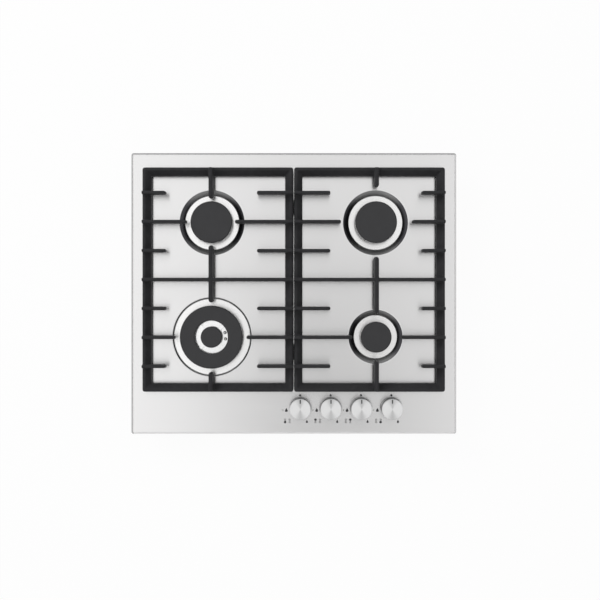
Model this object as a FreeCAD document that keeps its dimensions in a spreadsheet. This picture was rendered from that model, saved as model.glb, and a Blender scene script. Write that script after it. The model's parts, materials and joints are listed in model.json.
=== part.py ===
"""Four-burner gas cooktop: pressed steel plate, cast pan supports, burners, taps and base tray.

Millimetres, X to the right, Y to the rear, Z up. The origin is the middle of the plate's outline,
at the underside of the base tray.
"""

import FreeCAD, Part
import Sketcher

import math
import os
import re

Vector = FreeCAD.Vector
Rotation = FreeCAD.Rotation

SIZES = [
    # plate
    ("plate_width", 590, "plate, left to right"),
    ("plate_depth", 510, "plate, front to rear"),
    ("plate_gauge", 1, "sheet thickness of the plate"),
    ("plate_corner", 4, "corner radius of the plate"),
    ("rim_height", 6, "worktop to plate surface"),
    ("rim_slope", 3, "how far the rim leans out"),
    # base tray
    ("tray_width", 552, "tray, left to right"),
    ("tray_depth", 472, "tray, front to rear"),
    ("tray_height", 50, "tray floor to worktop"),
    ("tray_gauge", 0.8, "sheet thickness of the tray"),
    ("tray_flange", 6, "outward flange round the tray's mouth"),
    ("tray_corner", 6, "corner radius of the tray"),
    ("vent_count", 9, "vent slots in each row"),
    ("vent_pitch", 14, "from vent to vent"),
    ("vent_length", 44, "length of a vent slot"),
    ("vent_width", 5, "width of a vent slot"),
    ("seal_width", 8, "width of the foam strip"),
    ("seal_inset", 4.5, "edge of the plate to the foam strip"),
    # where things are
    ("burner_offset", 148, "middle of the plate to each row of burners"),
    ("support_middle", 24.7, "how far the pan supports sit to the rear"),
    ("finger_pitch", 51.65, "from finger to finger"),
    ("first_knob", 11.7, "middle of the plate to the first knob"),
    ("knob_pitch", 55.0, "from knob to knob"),
    ("knob_line", 207.5, "middle of the plate to the row of knobs"),
    # burners
    ("middle_cap", 37.5, "cap radius of the two middle-sized burners"),
    ("small_cap", 27.75, "cap radius of the small burner"),
    ("wok_cap", 56.5, "outer radius of the wok burner's ring cap"),
    ("wok_cap_bore", 29.7, "inner radius of the wok burner's ring cap"),
    ("centre_cap", 19.1, "radius of the wok burner's centre cap"),
    ("well_land", 11.3, "flat ring round a cap, in the well"),
    ("well_slope", 10, "width of the well's sloping wall"),
    ("well_drop", 4, "depth of a well"),
    ("wok_land", 12.6, "flat ring round the wok cap"),
    ("wok_slope", 2.3, "width of the wok well's wall"),
    ("wok_drop", 2.5, "depth of the wok well"),
    ("throat_setback", 12, "cap radius less throat radius"),
    ("cap_thickness", 6, "thickness of a cap"),
    ("cap_round", 2.4, "rounding of a cap's upper edge"),
    ("cap_lip", 2.5, "width and depth of the ring that centres a cap"),
    ("crown_height", 18, "well floor to the underside of a cap"),
    ("crown_setback", 5.5, "how far a cap overhangs its crown"),
    ("crown_wall", 3.5, "wall of a crown"),
    ("port_width", 1.8, "width of a flame port"),
    ("port_height", 9, "height of a flame port"),
    ("middle_ports", 30, "flame ports of a middle-sized burner"),
    ("small_ports", 20, "flame ports of the small burner"),
    ("wok_ports", 48, "outer flame ports of the wok burner"),
    ("inner_ports", 24, "flame ports in the wok burner's inner ring"),
    ("centre_ports", 12, "flame ports of the wok burner's centre crown"),
    ("flange_thickness", 2, "rim of a flame spreader"),
    ("flange_setback", 1, "cap radius less the radius of that rim"),
    ("centre_setback", 2, "how far the centre cap overhangs its crown"),
    ("slot_overrun", 0.5, "how far a port's cut passes its wall on each side"),
    ("chamber_floor", 4, "floor of a flame spreader's chamber"),
    ("skirt_depth", 8, "how deep a spreader reaches into its cup"),
    ("skirt_wall", 2, "wall of that skirt"),
    ("ring_wall_radius", 36.5, "outside of the wok spreader's inner ring wall"),
    ("annulus_height", 8, "well floor to the wok spreader's inner floor"),
    ("annulus_floor", 3, "thickness of that floor"),
    ("bridge_width", 5, "gas bridges from the ring to the centre crown"),
    ("bridge_height", 5, "height of a gas bridge above the inner floor"),
    ("cup_wall", 3.5, "wall of a burner cup"),
    ("cup_base", 12, "height of a cup's solid base"),
    ("cup_flange", 3, "thickness of a cup's flange"),
    ("cup_reach", 2, "how far a cup's flange passes the cap radius"),
    ("screw_setback", 4, "cap radius less the radius of a burner's screw circle"),
    ("boss_radius", 5, "gas nipple on a cup or tap"),
    ("boss_reach", 10, "length of a gas nipple"),
    ("gas_way", 2.2, "radius of the gas channels in cups and taps"),
    ("injector_radius", 4.5, "head of an injector"),
    ("injector_height", 4, "height of that head"),
    ("injector_thread", 2.9, "thread radius of an injector"),
    ("injector_depth", 5, "depth of that thread"),
    ("jet_radius", 0.5, "radius of an injector's jet"),
    ("electrode_setback", 2.5, "cap radius less electrode radius"),
    ("plug_radius", 2.2, "ceramic of a spark plug"),
    ("probe_radius", 1.6, "flame sensor"),
    ("electrode_hole", 2.8, "radius of the holes that let electrodes through"),
    ("tip_length", 3, "thin end of an electrode"),
    ("tip_taper", 1, "taper between an electrode's rod and its tip"),
    ("plug_tip", 0.9, "radius of a spark plug's wire tip"),
    ("probe_tip", 1.2, "radius of a flame sensor's tip"),
    ("collar_radius", 3.4, "collar under an electrode"),
    ("collar_height", 4, "height of that collar"),
    ("terminal_radius", 1.4, "terminal below an electrode"),
    ("terminal_length", 5, "length of that terminal"),
    ("spark_gap", 2, "cap underside to electrode tip"),
    ("spark_angle", 235, "place of a spark plug round its burner"),
    ("probe_angle", 295, "place of a flame sensor round its burner"),
    ("wok_electrode_radius", 25, "electrodes from the wok burner's middle"),
    ("wok_spark_angle", -8, "place of the wok burner's spark plug"),
    ("wok_probe_angle", 18, "place of the wok burner's flame sensor"),
    # pan supports
    ("support_width", 270.2, "one casting, left to right"),
    ("support_depth", 402.1, "one casting, front to rear"),
    ("support_gap", 1.6, "between the two castings"),
    ("frame_width", 14.6, "plan width of the frame bar"),
    ("frame_corner", 4, "corner radius of the frame"),
    ("frame_clear", 5, "plate to the frame's underside"),
    ("frame_top", 26, "plate to the frame's ridge"),
    ("frame_shoulder", 3.6, "rounding of the frame's outer shoulder"),
    ("frame_land", 5.4, "outer edge to the start of the inner slope"),
    ("frame_slope", 9, "drop of the frame's inner slope"),
    ("finger_top", 40, "plate to the fingers' top"),
    ("finger_depth", 20, "height of a finger"),
    ("finger_width", 5.2, "width of a finger at its top"),
    ("finger_draft", 2.4, "draft of a finger, in degrees"),
    ("spine_width", 6.2, "width at the top of the bars from front to rear"),
    ("spine_draft", 5.5, "draft of those bars, in degrees"),
    ("finger_inset", 0.6, "frame's edge to the top end of a finger"),
    ("spine_inset", 1.7, "frame's edge to the top end of a front or rear bar"),
    ("short_outer_reach", 42.4, "outer short fingers, from the frame's edge"),
    ("short_inner_reach", 64.4, "inner short fingers, from the frame's edge"),
    ("near_tip", 43.5, "burner middle to the fingertips, small pans"),
    ("far_tip", 64, "burner middle to the fingertips, large pans"),
    ("foot_line", 130, "middle of a casting to its feet, front to rear"),
    ("foot_length", 27, "length of a cast foot"),
    ("foot_inset", 1, "frame bar's sides to a foot, and how far a foot enters the bar"),
    ("lug_height", 15, "height of the lugs between the castings"),
    ("lug_gap", 0.3, "between the lugs of the two castings"),
    ("pad_radius", 4.6, "rubber foot"),
    ("pad_height", 2, "rubber foot below the casting"),
    ("pad_stem", 2, "radius of a rubber foot's stem"),
    ("pad_stem_height", 4, "height of that stem"),
    # knobs and taps
    ("knob_radius", 18.9, "top of a knob"),
    ("knob_skirt", 20.4, "foot of a knob"),
    ("knob_height", 26, "plate to the top of a knob"),
    ("press_travel", 3, "how far a knob is pressed in"),
    ("press_spare", 1, "plate to the foot of a pressed knob"),
    ("knob_skirt_height", 3, "height of a knob's foot ring"),
    ("knob_wall", 2.6, "wall of a knob"),
    ("knob_roof", 4, "thickness of a knob's top"),
    ("knob_hub", 7.5, "radius of a knob's hub"),
    ("knob_edge", 0.9, "bevel round a knob's top"),
    ("knob_flare", 0.8, "how far a knob's shell widens inside, from roof to foot"),
    ("skirt_bevel", 0.5, "bevel and step of a knob's foot ring"),
    ("hub_recess", 3, "foot of a knob to the foot of its hub"),
    ("key_inset", 1, "how far a knob's key enters the hub and stays off its sides"),
    ("pointer_width", 2.2, "indicator line on a knob"),
    ("pointer_length", 7.5, "length of that line"),
    ("pointer_inset", 1.6, "knob's edge to the line"),
    ("pointer_depth", 0.5, "depth of the line's groove"),
    ("spindle_radius", 4, "tap spindle"),
    ("spindle_flat", 2.8, "middle of the spindle to its flat"),
    ("spindle_grip", 13, "length of the spindle's flat"),
    ("spindle_in_knob", 13.8, "how far the spindle enters the knob"),
    ("spindle_play", 0.4, "gap round a turning or sliding piece"),
    ("spindle_hole", 6, "radius of the plate's spindle holes"),
    ("spindle_seal", 8.5, "radius of the rubber ring round a spindle"),
    ("spindle_seal_height", 2.6, "height of that ring"),
    ("collar_reach", 7.2, "radius of the spindle's collar and thrust ring"),
    ("collar_thickness", 1.2, "spindle's collar"),
    ("thrust_thickness", 1.5, "thrust ring"),
    ("spring_pressed", 4, "height left for the return spring of a pressed knob"),
    ("neck_radius", 9.5, "tap neck"),
    ("neck_height", 6, "tap neck above the tap's block"),
    ("neck_lip", 2, "lip that keeps the spindle's collar in"),
    ("tap_top", 44, "tray floor to the top of a tap's block"),
    ("tap_width", 24, "tap's block, left to right"),
    ("tap_length", 28, "tap's block, front to rear"),
    ("bottom_room", 2, "room below a pressed spindle"),
    ("spindle_tail", 4, "spindle below the return spring's floor"),
    ("stub_play", 0.5, "gas nipple's radius less that of the stub in the manifold"),
    ("saddle_screw_depth", 5, "depth of a saddle's screw in its tap"),
    ("rail_screw_depth", 5, "depth of a rail's screw in its tap"),
    ("rail_gauge", 1.5, "sheet thickness of the tap rail"),
    ("rail_width", 34, "tap rail, front to rear"),
    ("rail_overhang", 24, "tap rail past the outer taps"),
    ("rail_tab", 12, "welded tab at each end of the tap rail"),
    ("switch_width", 8, "ignition switch"),
    ("switch_length", 20, "ignition switch, front to rear"),
    ("switch_height", 8, "ignition switch"),
    ("switch_offset", 12.5, "spindle to the ignition switch"),
    ("button_radius", 1.2, "button of an ignition switch"),
    ("button_length", 2, "length of that button"),
    # gas pipes
    ("pipe_level", 30, "height of the supply pipes"),
    ("pipe_radius", 4, "supply pipe, outside"),
    ("pipe_wall", 0.8, "wall of a supply pipe"),
    ("pipe_bend", 14, "bend radius of a supply pipe"),
    ("pipe_rise", 22, "tap nipple to a front pipe's first turn"),
    ("slant_start", 24, "tap nipple to the slant of the rear right pipe"),
    ("slant_end", 50, "tap nipple to the end of a slant"),
    ("slant_shift", 28, "how far that slant moves aside"),
    ("manifold_level", 15, "height of the manifold"),
    ("manifold_radius", 8, "manifold, outside"),
    ("manifold_wall", 1.2, "wall of the manifold"),
    ("manifold_bend", 26, "bend radius of the manifold"),
    ("manifold_overhang", 32, "closed end of the manifold past the first tap"),
    ("inlet_offset", 235, "middle of the plate to the gas inlet"),
    ("inlet_thread", 10.48, "radius of the gas inlet's thread"),
    ("inlet_length", 13, "free length of that thread"),
    ("inlet_tail", 14, "thread inside the tray"),
    ("inlet_hex", 12, "half the spanner width of the inlet's collar"),
    ("inlet_hex_height", 4, "thickness of that collar"),
    ("inlet_bore", 6, "radius of the gas inlet's bore"),
    ("inlet_nut_height", 5, "thickness of the inlet's lock nut"),
    ("inlet_seat", 3, "gas inlet's shoulder to the end of the manifold's socket"),
    ("inlet_relief", 1, "manifold's end to that shoulder, and the collar's hold on the thread"),
    ("nut_hex", 7, "half the spanner width of a pipe nut"),
    ("nut_height", 10, "length of a pipe nut"),
    ("saddle_gauge", 2, "tap saddle"),
    ("saddle_length", 14, "tap saddle along the manifold"),
    ("saddle_ear", 6.5, "ear of a tap saddle"),
    # fasteners and small parts
    ("fit", 0.1, "gap between fixed pieces that fit together"),
    ("screw_radius", 1.9, "shank of a screw"),
    ("screw_head", 3.4, "head of a screw"),
    ("screw_head_height", 2.4, "height of a screw's head"),
    ("screw_slot", 1, "width and depth of a screw's slot"),
    ("head_bevel", 0.7, "bevel of a screw's head"),
    ("clip_screw_grip", 4, "clip screw past the tray's wall"),
    ("tray_screw_grip", 3, "tray screw past its bracket"),
    ("clip_width", 20, "worktop clip"),
    ("clip_gauge", 2, "sheet thickness of a worktop clip"),
    ("clip_height", 20, "upright leg of a worktop clip"),
    ("clip_reach", 13, "arm of a worktop clip"),
    ("clip_level", 18, "tray floor to a clip's arm"),
    ("clip_line", 150, "middle of the plate to the clips"),
    ("clip_hole_rise", 2, "middle of a clip's leg to its screw"),
    ("bracket_width", 22, "tray bracket"),
    ("bracket_leg", 14, "legs of a tray bracket"),
    ("bracket_line", 228, "middle of the plate to the tray brackets"),
    ("module_width", 84, "ignition module"),
    ("module_depth", 40, "ignition module, front to rear"),
    ("module_height", 26, "ignition module"),
    ("module_line", 205, "middle of the plate to the ignition module"),
    ("module_corner", 3, "corner radius of the ignition module"),
    ("block_width", 44, "terminal block"),
    ("block_depth", 18, "terminal block, front to rear"),
    ("block_height", 14, "terminal block"),
    ("block_way", 2.5, "radius of a wire way in the terminal block"),
    ("block_gap", 24, "tray's rear wall to the terminal block"),
    ("gland_offset", 180, "middle of the plate to the cable gland"),
    ("gland_level", 22, "height of the cable gland"),
    ("gland_radius", 8, "cable gland's body"),
    ("gland_flange", 11, "cable gland's flange"),
    ("gland_bore", 4.5, "radius of the cable gland's bore"),
    ("gland_length", 12, "cable gland outside the tray"),
    ("gland_inner", 5, "cable gland inside the tray"),
    ("gland_lip", 3, "thickness of the gland's outer flange"),
    ("gland_taper", 1, "how much the gland narrows to its end"),
    ("lead_radius", 1.4, "ignition lead"),
    ("sensor_lead", 0.8, "radius of a flame sensor's lead"),
    ("lead_floor", 2, "tray floor to the lowest lead"),
    ("lead_pitch", 5, "from one burner's leads to the next, upward"),
    ("lead_bend", 12, "bend radius of an ignition lead"),
    ("sensor_bend", 9, "bend radius of a flame sensor's lead"),
    ("lead_run", 30, "straight end of an ignition lead at its module"),
    ("sensor_rise", 34, "tap block to where a sensor lead starts to climb"),
    ("sensor_run", 10, "straight end of a sensor lead at its tap"),
    ("sensor_inset", 3, "side of a tap's block to its sensor lead"),
    ("sensor_drop", 4, "top of a tap's block to its sensor lead"),
    ("harness_run", 24, "switches to where the harness turns down"),
    ("harness_approach", 40, "straight end of the harness at the module"),
    ("harness_inset", 5, "side of the ignition module to the harness"),
]

document = FreeCAD.newDocument("Cooktop")
sheet = document.addObject("Spreadsheet::Sheet", "Sizes")
for row, (alias, number, meaning) in enumerate(SIZES, 1):
    sheet.set(f"A{row}", meaning)
    sheet.set(f"B{row}", str(number))
    sheet.setAlias(f"B{row}", alias)
document.recompute()

PARTS = []  # the sub-parts, each of which becomes one file

# levels, as formulas in the sheet's names
DECK = "(tray_height + rim_height)"
UNDERSIDE = f"({DECK} - plate_gauge)"
TAP_BOTTOM = "(manifold_level + manifold_radius)"
NECK_TOP = "(tap_top + neck_height)"
COLLAR_TOP = f"({NECK_TOP} - neck_lip - spindle_play)"
THRUST_TOP = f"({COLLAR_TOP} - collar_thickness)"
SPRING_FLOOR = f"({THRUST_TOP} - thrust_thickness - press_travel - spring_pressed)"
KNOB_FOOT = "(press_travel + press_spare)"
TAP_REAR = "(tap_length / 2 - knob_line)"
TRAY_SIDE = "(tray_width / 2)"
TRAY_REAR = "(tray_depth / 2)"
FRONT_BURNERS = "(support_middle - 2 * finger_pitch)"
REAR_BURNERS = "(support_middle + 2 * finger_pitch)"
SUPPORT_OFFSET = "(support_gap / 2 + support_width / 2)"
SADDLE_LINE = "(manifold_radius + fit + saddle_gauge + saddle_ear / 2)"
CLIP_SCREW_LEVEL = "(clip_level + clip_height / 2 + clip_hole_rise)"


def linked(formula):
    """The formula with each size's name pointing into the sheet."""
    return re.sub(r"[a-z]+_[a-z_]+|\bfit\b", lambda word: "Sizes." + word.group(), formula)


def size(formula):
    """What a formula of sizes comes to."""
    return float(sheet.evalExpression(linked(formula)))


def bind(thing, prop, formula):
    thing.setExpression(prop, linked(formula))


def place(thing, x="0", y="0", z="0", turn=None):
    """Binds a placement to formulas, after an optional fixed rotation."""
    if turn is not None:
        thing.Placement = FreeCAD.Placement(Vector(), turn)
    for axis, formula in zip("xyz", (x, y, z)):
        bind(thing, f"Placement.Base.{axis}", formula)


def turned(degrees):
    return Rotation(Vector(0, 0, 1), degrees)


def tap_x(index):
    return f"(first_knob + {index} * knob_pitch)"


# ---------------------------------------------------------------- sketches


def new_body(label, x="0", y="0", z="0", turn=None, kept=True):
    body = document.addObject("PartDesign::Body", label)
    body.Label = label
    place(body, x, y, z, turn)
    if kept:
        PARTS.append(body)
    return body


def origin_plane(body, role):
    return next(f for f in body.Origin.OriginFeatures if f.Role == role)


def new_sketch(body, plane, name, x="0", y="0", level="0"):
    """A sketch on the body's XY, XZ or YZ plane, shifted by x and y in the plane and level along
    its normal (+Z, -Y or +X)."""
    sketch = body.newObject("Sketcher::SketchObject", f"{body.Name}_{name}")
    sketch.AttachmentSupport = (origin_plane(body, plane + "_Plane"), [""])
    sketch.MapMode = "FlatFace"
    for axis, formula in zip("xyz", (x, y, level)):
        bind(sketch, f"AttachmentOffset.Base.{axis}", formula)
    return sketch


def fix_point(sketch, geometry, vertex, x, y):
    for kind, formula in (("DistanceX", x), ("DistanceY", y)):
        row = sketch.addConstraint(
            Sketcher.Constraint(kind, -1, 1, geometry, vertex, size(formula))
        )
        bind(sketch, f"Constraints[{row}]", formula)


def polygon(sketch, points):
    """A closed outline through points that are pairs of formulas."""
    corners = [Vector(size(x), size(y), 0) for x, y in points]
    first = sketch.GeometryCount
    count = len(points)
    for index in range(count):
        sketch.addGeometry(Part.LineSegment(corners[index], corners[(index + 1) % count]))
    for index in range(count):
        following = first + (index + 1) % count
        sketch.addConstraint(Sketcher.Constraint("Coincident", first + index, 2, following, 1))
    for index, (x, y) in enumerate(points):
        fix_point(sketch, first + index, 1, x, y)


def rectangle(sketch, left, right, low, high):
    polygon(sketch, [(left, low), (right, low), (right, high), (left, high)])


def circle(sketch, radius, x="0", y="0"):
    row = sketch.addGeometry(
        Part.Circle(Vector(size(x), size(y), 0), Vector(0, 0, 1), size(radius))
    )
    fix_point(sketch, row, 3, x, y)
    constraint = sketch.addConstraint(Sketcher.Constraint("Radius", row, size(radius)))
    bind(sketch, f"Constraints[{constraint}]", radius)


def hexagon(sketch, half_width):
    """A hexagon of the given half width across its flats."""
    corners = []
    for index in range(6):
        angle = 30 + 60 * index
        reach = f"{half_width} / cos(30)"
        corners.append((f"{reach} * cos({angle})", f"{reach} * sin({angle})"))
    polygon(sketch, corners)


def segment(sketch, start, end):
    """A line between two points that are pairs of formulas, both held in place."""
    ends = [Vector(size(x), size(y), 0) for x, y in (start, end)]
    row = sketch.addGeometry(Part.LineSegment(*ends))
    fix_point(sketch, row, 1, *start)
    fix_point(sketch, row, 2, *end)
    return row


def join_by_arc(sketch, start, end, centre, first_angle, last_angle):
    """An arc anticlockwise between two held vertices, each (line, vertex)."""
    line, vertex = start
    origin = Vector(size(centre[0]), size(centre[1]), 0)
    point = sketch.getPoint(line, vertex)
    whole = Part.Circle(origin, Vector(0, 0, 1), origin.distanceToPoint(point))
    row = sketch.addGeometry(
        Part.ArcOfCircle(whole, math.radians(first_angle), math.radians(last_angle))
    )
    sketch.addConstraint(Sketcher.Constraint("Coincident", row, 1, *start))
    sketch.addConstraint(Sketcher.Constraint("Coincident", row, 2, *end))
    kind, formula = ("DistanceX", centre[0])
    if last_angle - first_angle == 180 and first_angle in (0, 180):
        kind, formula = ("DistanceY", centre[1])
    held = sketch.addConstraint(Sketcher.Constraint(kind, -1, 1, row, 3, size(formula)))
    bind(sketch, f"Constraints[{held}]", formula)


def rounded_rectangle(sketch, half_x, half_y, radius):
    """A rectangle about the sketch's origin with rounded corners."""
    x, y = f"({half_x})", f"({half_y})"
    in_x, in_y = f"({half_x} - ({radius}))", f"({half_y} - ({radius}))"
    front = segment(sketch, (f"-{in_x}", f"-{y}"), (in_x, f"-{y}"))
    right = segment(sketch, (x, f"-{in_y}"), (x, in_y))
    back = segment(sketch, (in_x, y), (f"-{in_x}", y))
    left = segment(sketch, (f"-{x}", in_y), (f"-{x}", f"-{in_y}"))
    corners = [
        (front, right, in_x, f"-{in_y}", -90),
        (right, back, in_x, in_y, 0),
        (back, left, f"-{in_x}", in_y, 90),
        (left, front, f"-{in_x}", f"-{in_y}", 180),
    ]
    for before, after, centre_x, centre_y, angle in corners:
        join_by_arc(sketch, (before, 2), (after, 1), (centre_x, centre_y), angle, angle + 90)


def finger_outline(sketch, root, tip, line, width, upright=False, both_round=False):
    """A bar's plan outline from a square root to a round tip, along X or, upright, along Y."""
    run = 1 if size(tip) > size(root) else -1
    half = f"({width}) / 2"
    tip_middle = f"({tip}) - {run} * {half}"
    root_middle = f"({root}) + {run} * {half}" if both_round else root

    def spot(along, across):
        return (across, along) if upright else (along, across)

    low_edge, high_edge = f"({line}) - {half}", f"({line}) + {half}"
    low = segment(sketch, spot(root_middle, low_edge), spot(tip_middle, low_edge))
    high = segment(sketch, spot(root_middle, high_edge), spot(tip_middle, high_edge))
    ends = [(tip_middle, 2, run)]
    if both_round:
        ends.append((root_middle, 1, -run))
    else:
        row = sketch.addGeometry(
            Part.LineSegment(sketch.getPoint(high, 1), sketch.getPoint(low, 1))
        )
        sketch.addConstraint(Sketcher.Constraint("Coincident", row, 1, high, 1))
        sketch.addConstraint(Sketcher.Constraint("Coincident", row, 2, low, 1))
    for middle, vertex, way in ends:
        first_angle = {(1, False): -90, (-1, False): 90, (1, True): 0, (-1, True): 180}[way, upright]
        starts_low = first_angle in (-90, 180)
        start, end = (low, high) if starts_low else (high, low)
        join_by_arc(
            sketch,
            (start, vertex),
            (end, vertex),
            spot(middle, line),
            first_angle,
            first_angle + 180,
        )


# ---------------------------------------------------------------- features


def pad(body, sketch, length, downward=False, draft=None, symmetric=False):
    feature = body.newObject("PartDesign::Pad", sketch.Name + "_pad")
    feature.Profile = sketch
    bind(feature, "Length", length)
    feature.Reversed = downward
    if symmetric:
        feature.SideType = "Symmetric"
    if draft is not None:
        bind(feature, "TaperAngle", draft)
    return feature


def pocket(body, sketch, depth, upward=False, draft=None, symmetric=False):
    """Cuts against the sketch's normal, or along it when upward."""
    feature = body.newObject("PartDesign::Pocket", sketch.Name + "_cut")
    feature.Profile = sketch
    bind(feature, "Length", depth)
    feature.Reversed = upward
    if symmetric:
        feature.SideType = "Symmetric"
    if draft is not None:
        bind(feature, "TaperAngle", draft)
    return feature


def revolve(body, name, points, x="0", y="0"):
    """Turns an outline of (radius, height) points round a vertical axis through x, y."""
    sketch = new_sketch(body, "XZ", name, x=x, level=f"-({y})")
    polygon(sketch, points)
    feature = body.newObject("PartDesign::Revolution", sketch.Name + "_turned")
    feature.Profile = sketch
    feature.ReferenceAxis = (sketch, ["V_Axis"])
    feature.Angle = 360
    return feature


def polar(body, feature, count):
    pattern = body.newObject("PartDesign::PolarPattern", feature.Name + "_round")
    pattern.Originals = [feature]
    pattern.Axis = (origin_plane(body, "Z_Axis"), [""])
    pattern.Angle = 360
    bind(pattern, "Occurrences", count)
    body.Tip = pattern
    return pattern


def linear(body, feature, role, pitch, count):
    pattern = body.newObject("PartDesign::LinearPattern", feature.Name + "_row")
    pattern.Originals = [feature]
    pattern.Direction = (origin_plane(body, role), [""])
    pattern.Mode = "Spacing"
    bind(pattern, "Offset", pitch)
    bind(pattern, "Occurrences", count)
    body.Tip = pattern
    return pattern


def round_edges(body, name, radius, wanted):
    """Rounds the tip's edges that the test picks."""
    document.recompute()
    tip = body.Tip
    names = [f"Edge{i}" for i, edge in enumerate(tip.Shape.Edges, 1) if wanted(edge)]
    if not names:
        raise ValueError(f"{body.Label}: no edge to round for {name}")
    feature = body.newObject("PartDesign::Fillet", f"{body.Name}_{name}")
    feature.Base = (tip, names)
    bind(feature, "Radius", radius)
    return feature


def is_circle(edge, radius, height):
    """Whether an edge is part of a level circle of this radius at this height."""
    if edge.Curve.TypeId != "Part::GeomCircle":
        return False
    return abs(edge.Curve.Radius - radius) < 0.01 and abs(edge.Curve.Center.z - height) < 0.01


def is_upright(edge):
    ends = [vertex.Point for vertex in edge.Vertexes]
    return len(ends) == 2 and abs(ends[0].z - ends[1].z) > 0.5


def group(label, placed):
    """Identical pieces as one node: each entry is (master, x, y, z, rotation)."""
    links = []
    for index, (master, x, y, z, turn) in enumerate(placed, 1):
        link = document.addObject("App::Link", f"{label}_{index}")
        link.LinkedObject = master
        place(link, x, y, z, turn or Rotation())
        links.append(link)
    compound = document.addObject("Part::Compound", label)
    compound.Label = label
    compound.Links = links
    PARTS.append(compound)
    return compound


def tube_path(points, bend):
    """Straight runs joined by tangent arcs of the bend radius, or as large as the runs allow."""
    points = [Vector(*point) for point in points]
    edges = []
    start = points[0]
    for before, corner, after in zip(points, points[1:], points[2:]):
        back = (before - corner).normalize()
        onward = (after - corner).normalize()
        half_turn = (math.pi - back.getAngle(onward)) / 2
        shorter = min(before.distanceToPoint(corner), after.distanceToPoint(corner))
        radius = min(bend, 0.45 * shorter / math.tan(half_turn))
        trim = radius * math.tan(half_turn)
        arc_start = corner + back * trim
        arc_end = corner + onward * trim
        inward = (back + onward).normalize()
        middle = corner + inward * (radius / math.cos(half_turn) - radius)
        edges.append(Part.LineSegment(start, arc_start).toShape())
        edges.append(Part.Arc(arc_start, middle, arc_end).toShape())
        start = arc_end
    edges.append(Part.LineSegment(start, points[-1]).toShape())
    return Part.Wire(edges)


def tube(points, radius, bend, bore=0):
    """A round rod or, with a bore, a pipe along a path, whose volume is checked."""
    path = tube_path(points, bend)
    start = Vector(*points[0])
    heading = (Vector(*points[1]) - start).normalize()
    solid = path.makePipe(Part.Face(Part.Wire(Part.Circle(start, heading, radius).toShape())))
    if bore:
        inside = path.makePipe(Part.Face(Part.Wire(Part.Circle(start, heading, bore).toShape())))
        solid = solid.cut(inside)
    wanted = math.pi * (radius**2 - bore**2) * path.Length
    if abs(solid.Volume / wanted - 1) > 0.01:
        raise ValueError(f"pipe volume {solid.Volume:.1f}, not {wanted:.1f}")
    return solid


def shaped(label, solids):
    """A node whose shape is made directly from solids in place."""
    feature = document.addObject("Part::Feature", label)
    feature.Label = label
    feature.Shape = Part.makeCompound(solids) if len(solids) > 1 else solids[0]
    PARTS.append(feature)
    return feature


# ---------------------------------------------------------------- burners


class Burner:
    """Where one burner is, how large it is, and the well it sits in."""

    def __init__(self, name, cap, x, y, ports, inlet, wok=False):
        self.name = name
        self.cap = cap
        self.x = x
        self.y = y
        self.ports = ports
        self.inlet = inlet  # the way its gas nipple points, in degrees
        self.wok = wok
        self.land = "wok_land" if wok else "well_land"
        self.slope = "wok_slope" if wok else "well_slope"
        self.drop = "wok_drop" if wok else "well_drop"
        self.floor = f"({DECK} - {self.drop})"
        self.throat = f"({cap} - throat_setback)"
        self.well_inner = f"({cap} + {self.land})"
        self.well_outer = f"({cap} + {self.land} + {self.slope})"
        self.cup_outer = f"({self.throat} + cup_wall)"
        self.cup_bottom = "(pipe_level - cup_base / 2)"
        self.screw_line = f"({cap} - screw_setback)"

    def electrode(self, kind):
        """The place of the spark plug or the flame sensor."""
        angle = f"wok_{kind}_angle" if self.wok else f"{kind}_angle"
        return self.at(self.electrode_radius(), angle)

    def electrode_radius(self):
        return "wok_electrode_radius" if self.wok else f"({self.cap} - electrode_setback)"

    def at(self, radius, angle):
        return (
            f"({self.x} + {radius} * cos({angle}))",
            f"({self.y} + {radius} * sin({angle}))",
        )

    def electrode_seat(self):
        """The underside that an electrode's collar lies against."""
        if self.wok:
            return self.cup_bottom
        return f"({self.floor} - plate_gauge - cup_flange)"


LEFT, RIGHT = "-burner_offset", "burner_offset"
BURNERS = [
    Burner("front_left", "wok_cap", LEFT, FRONT_BURNERS, "wok_ports", -90, wok=True),
    Burner("rear_left", "middle_cap", LEFT, REAR_BURNERS, "middle_ports", 0),
    Burner("rear_right", "middle_cap", RIGHT, REAR_BURNERS, "middle_ports", 180),
    Burner("front_right", "small_cap", RIGHT, FRONT_BURNERS, "small_ports", -90),
]
SCREW_ANGLES = (70, 190, 330)


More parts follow.
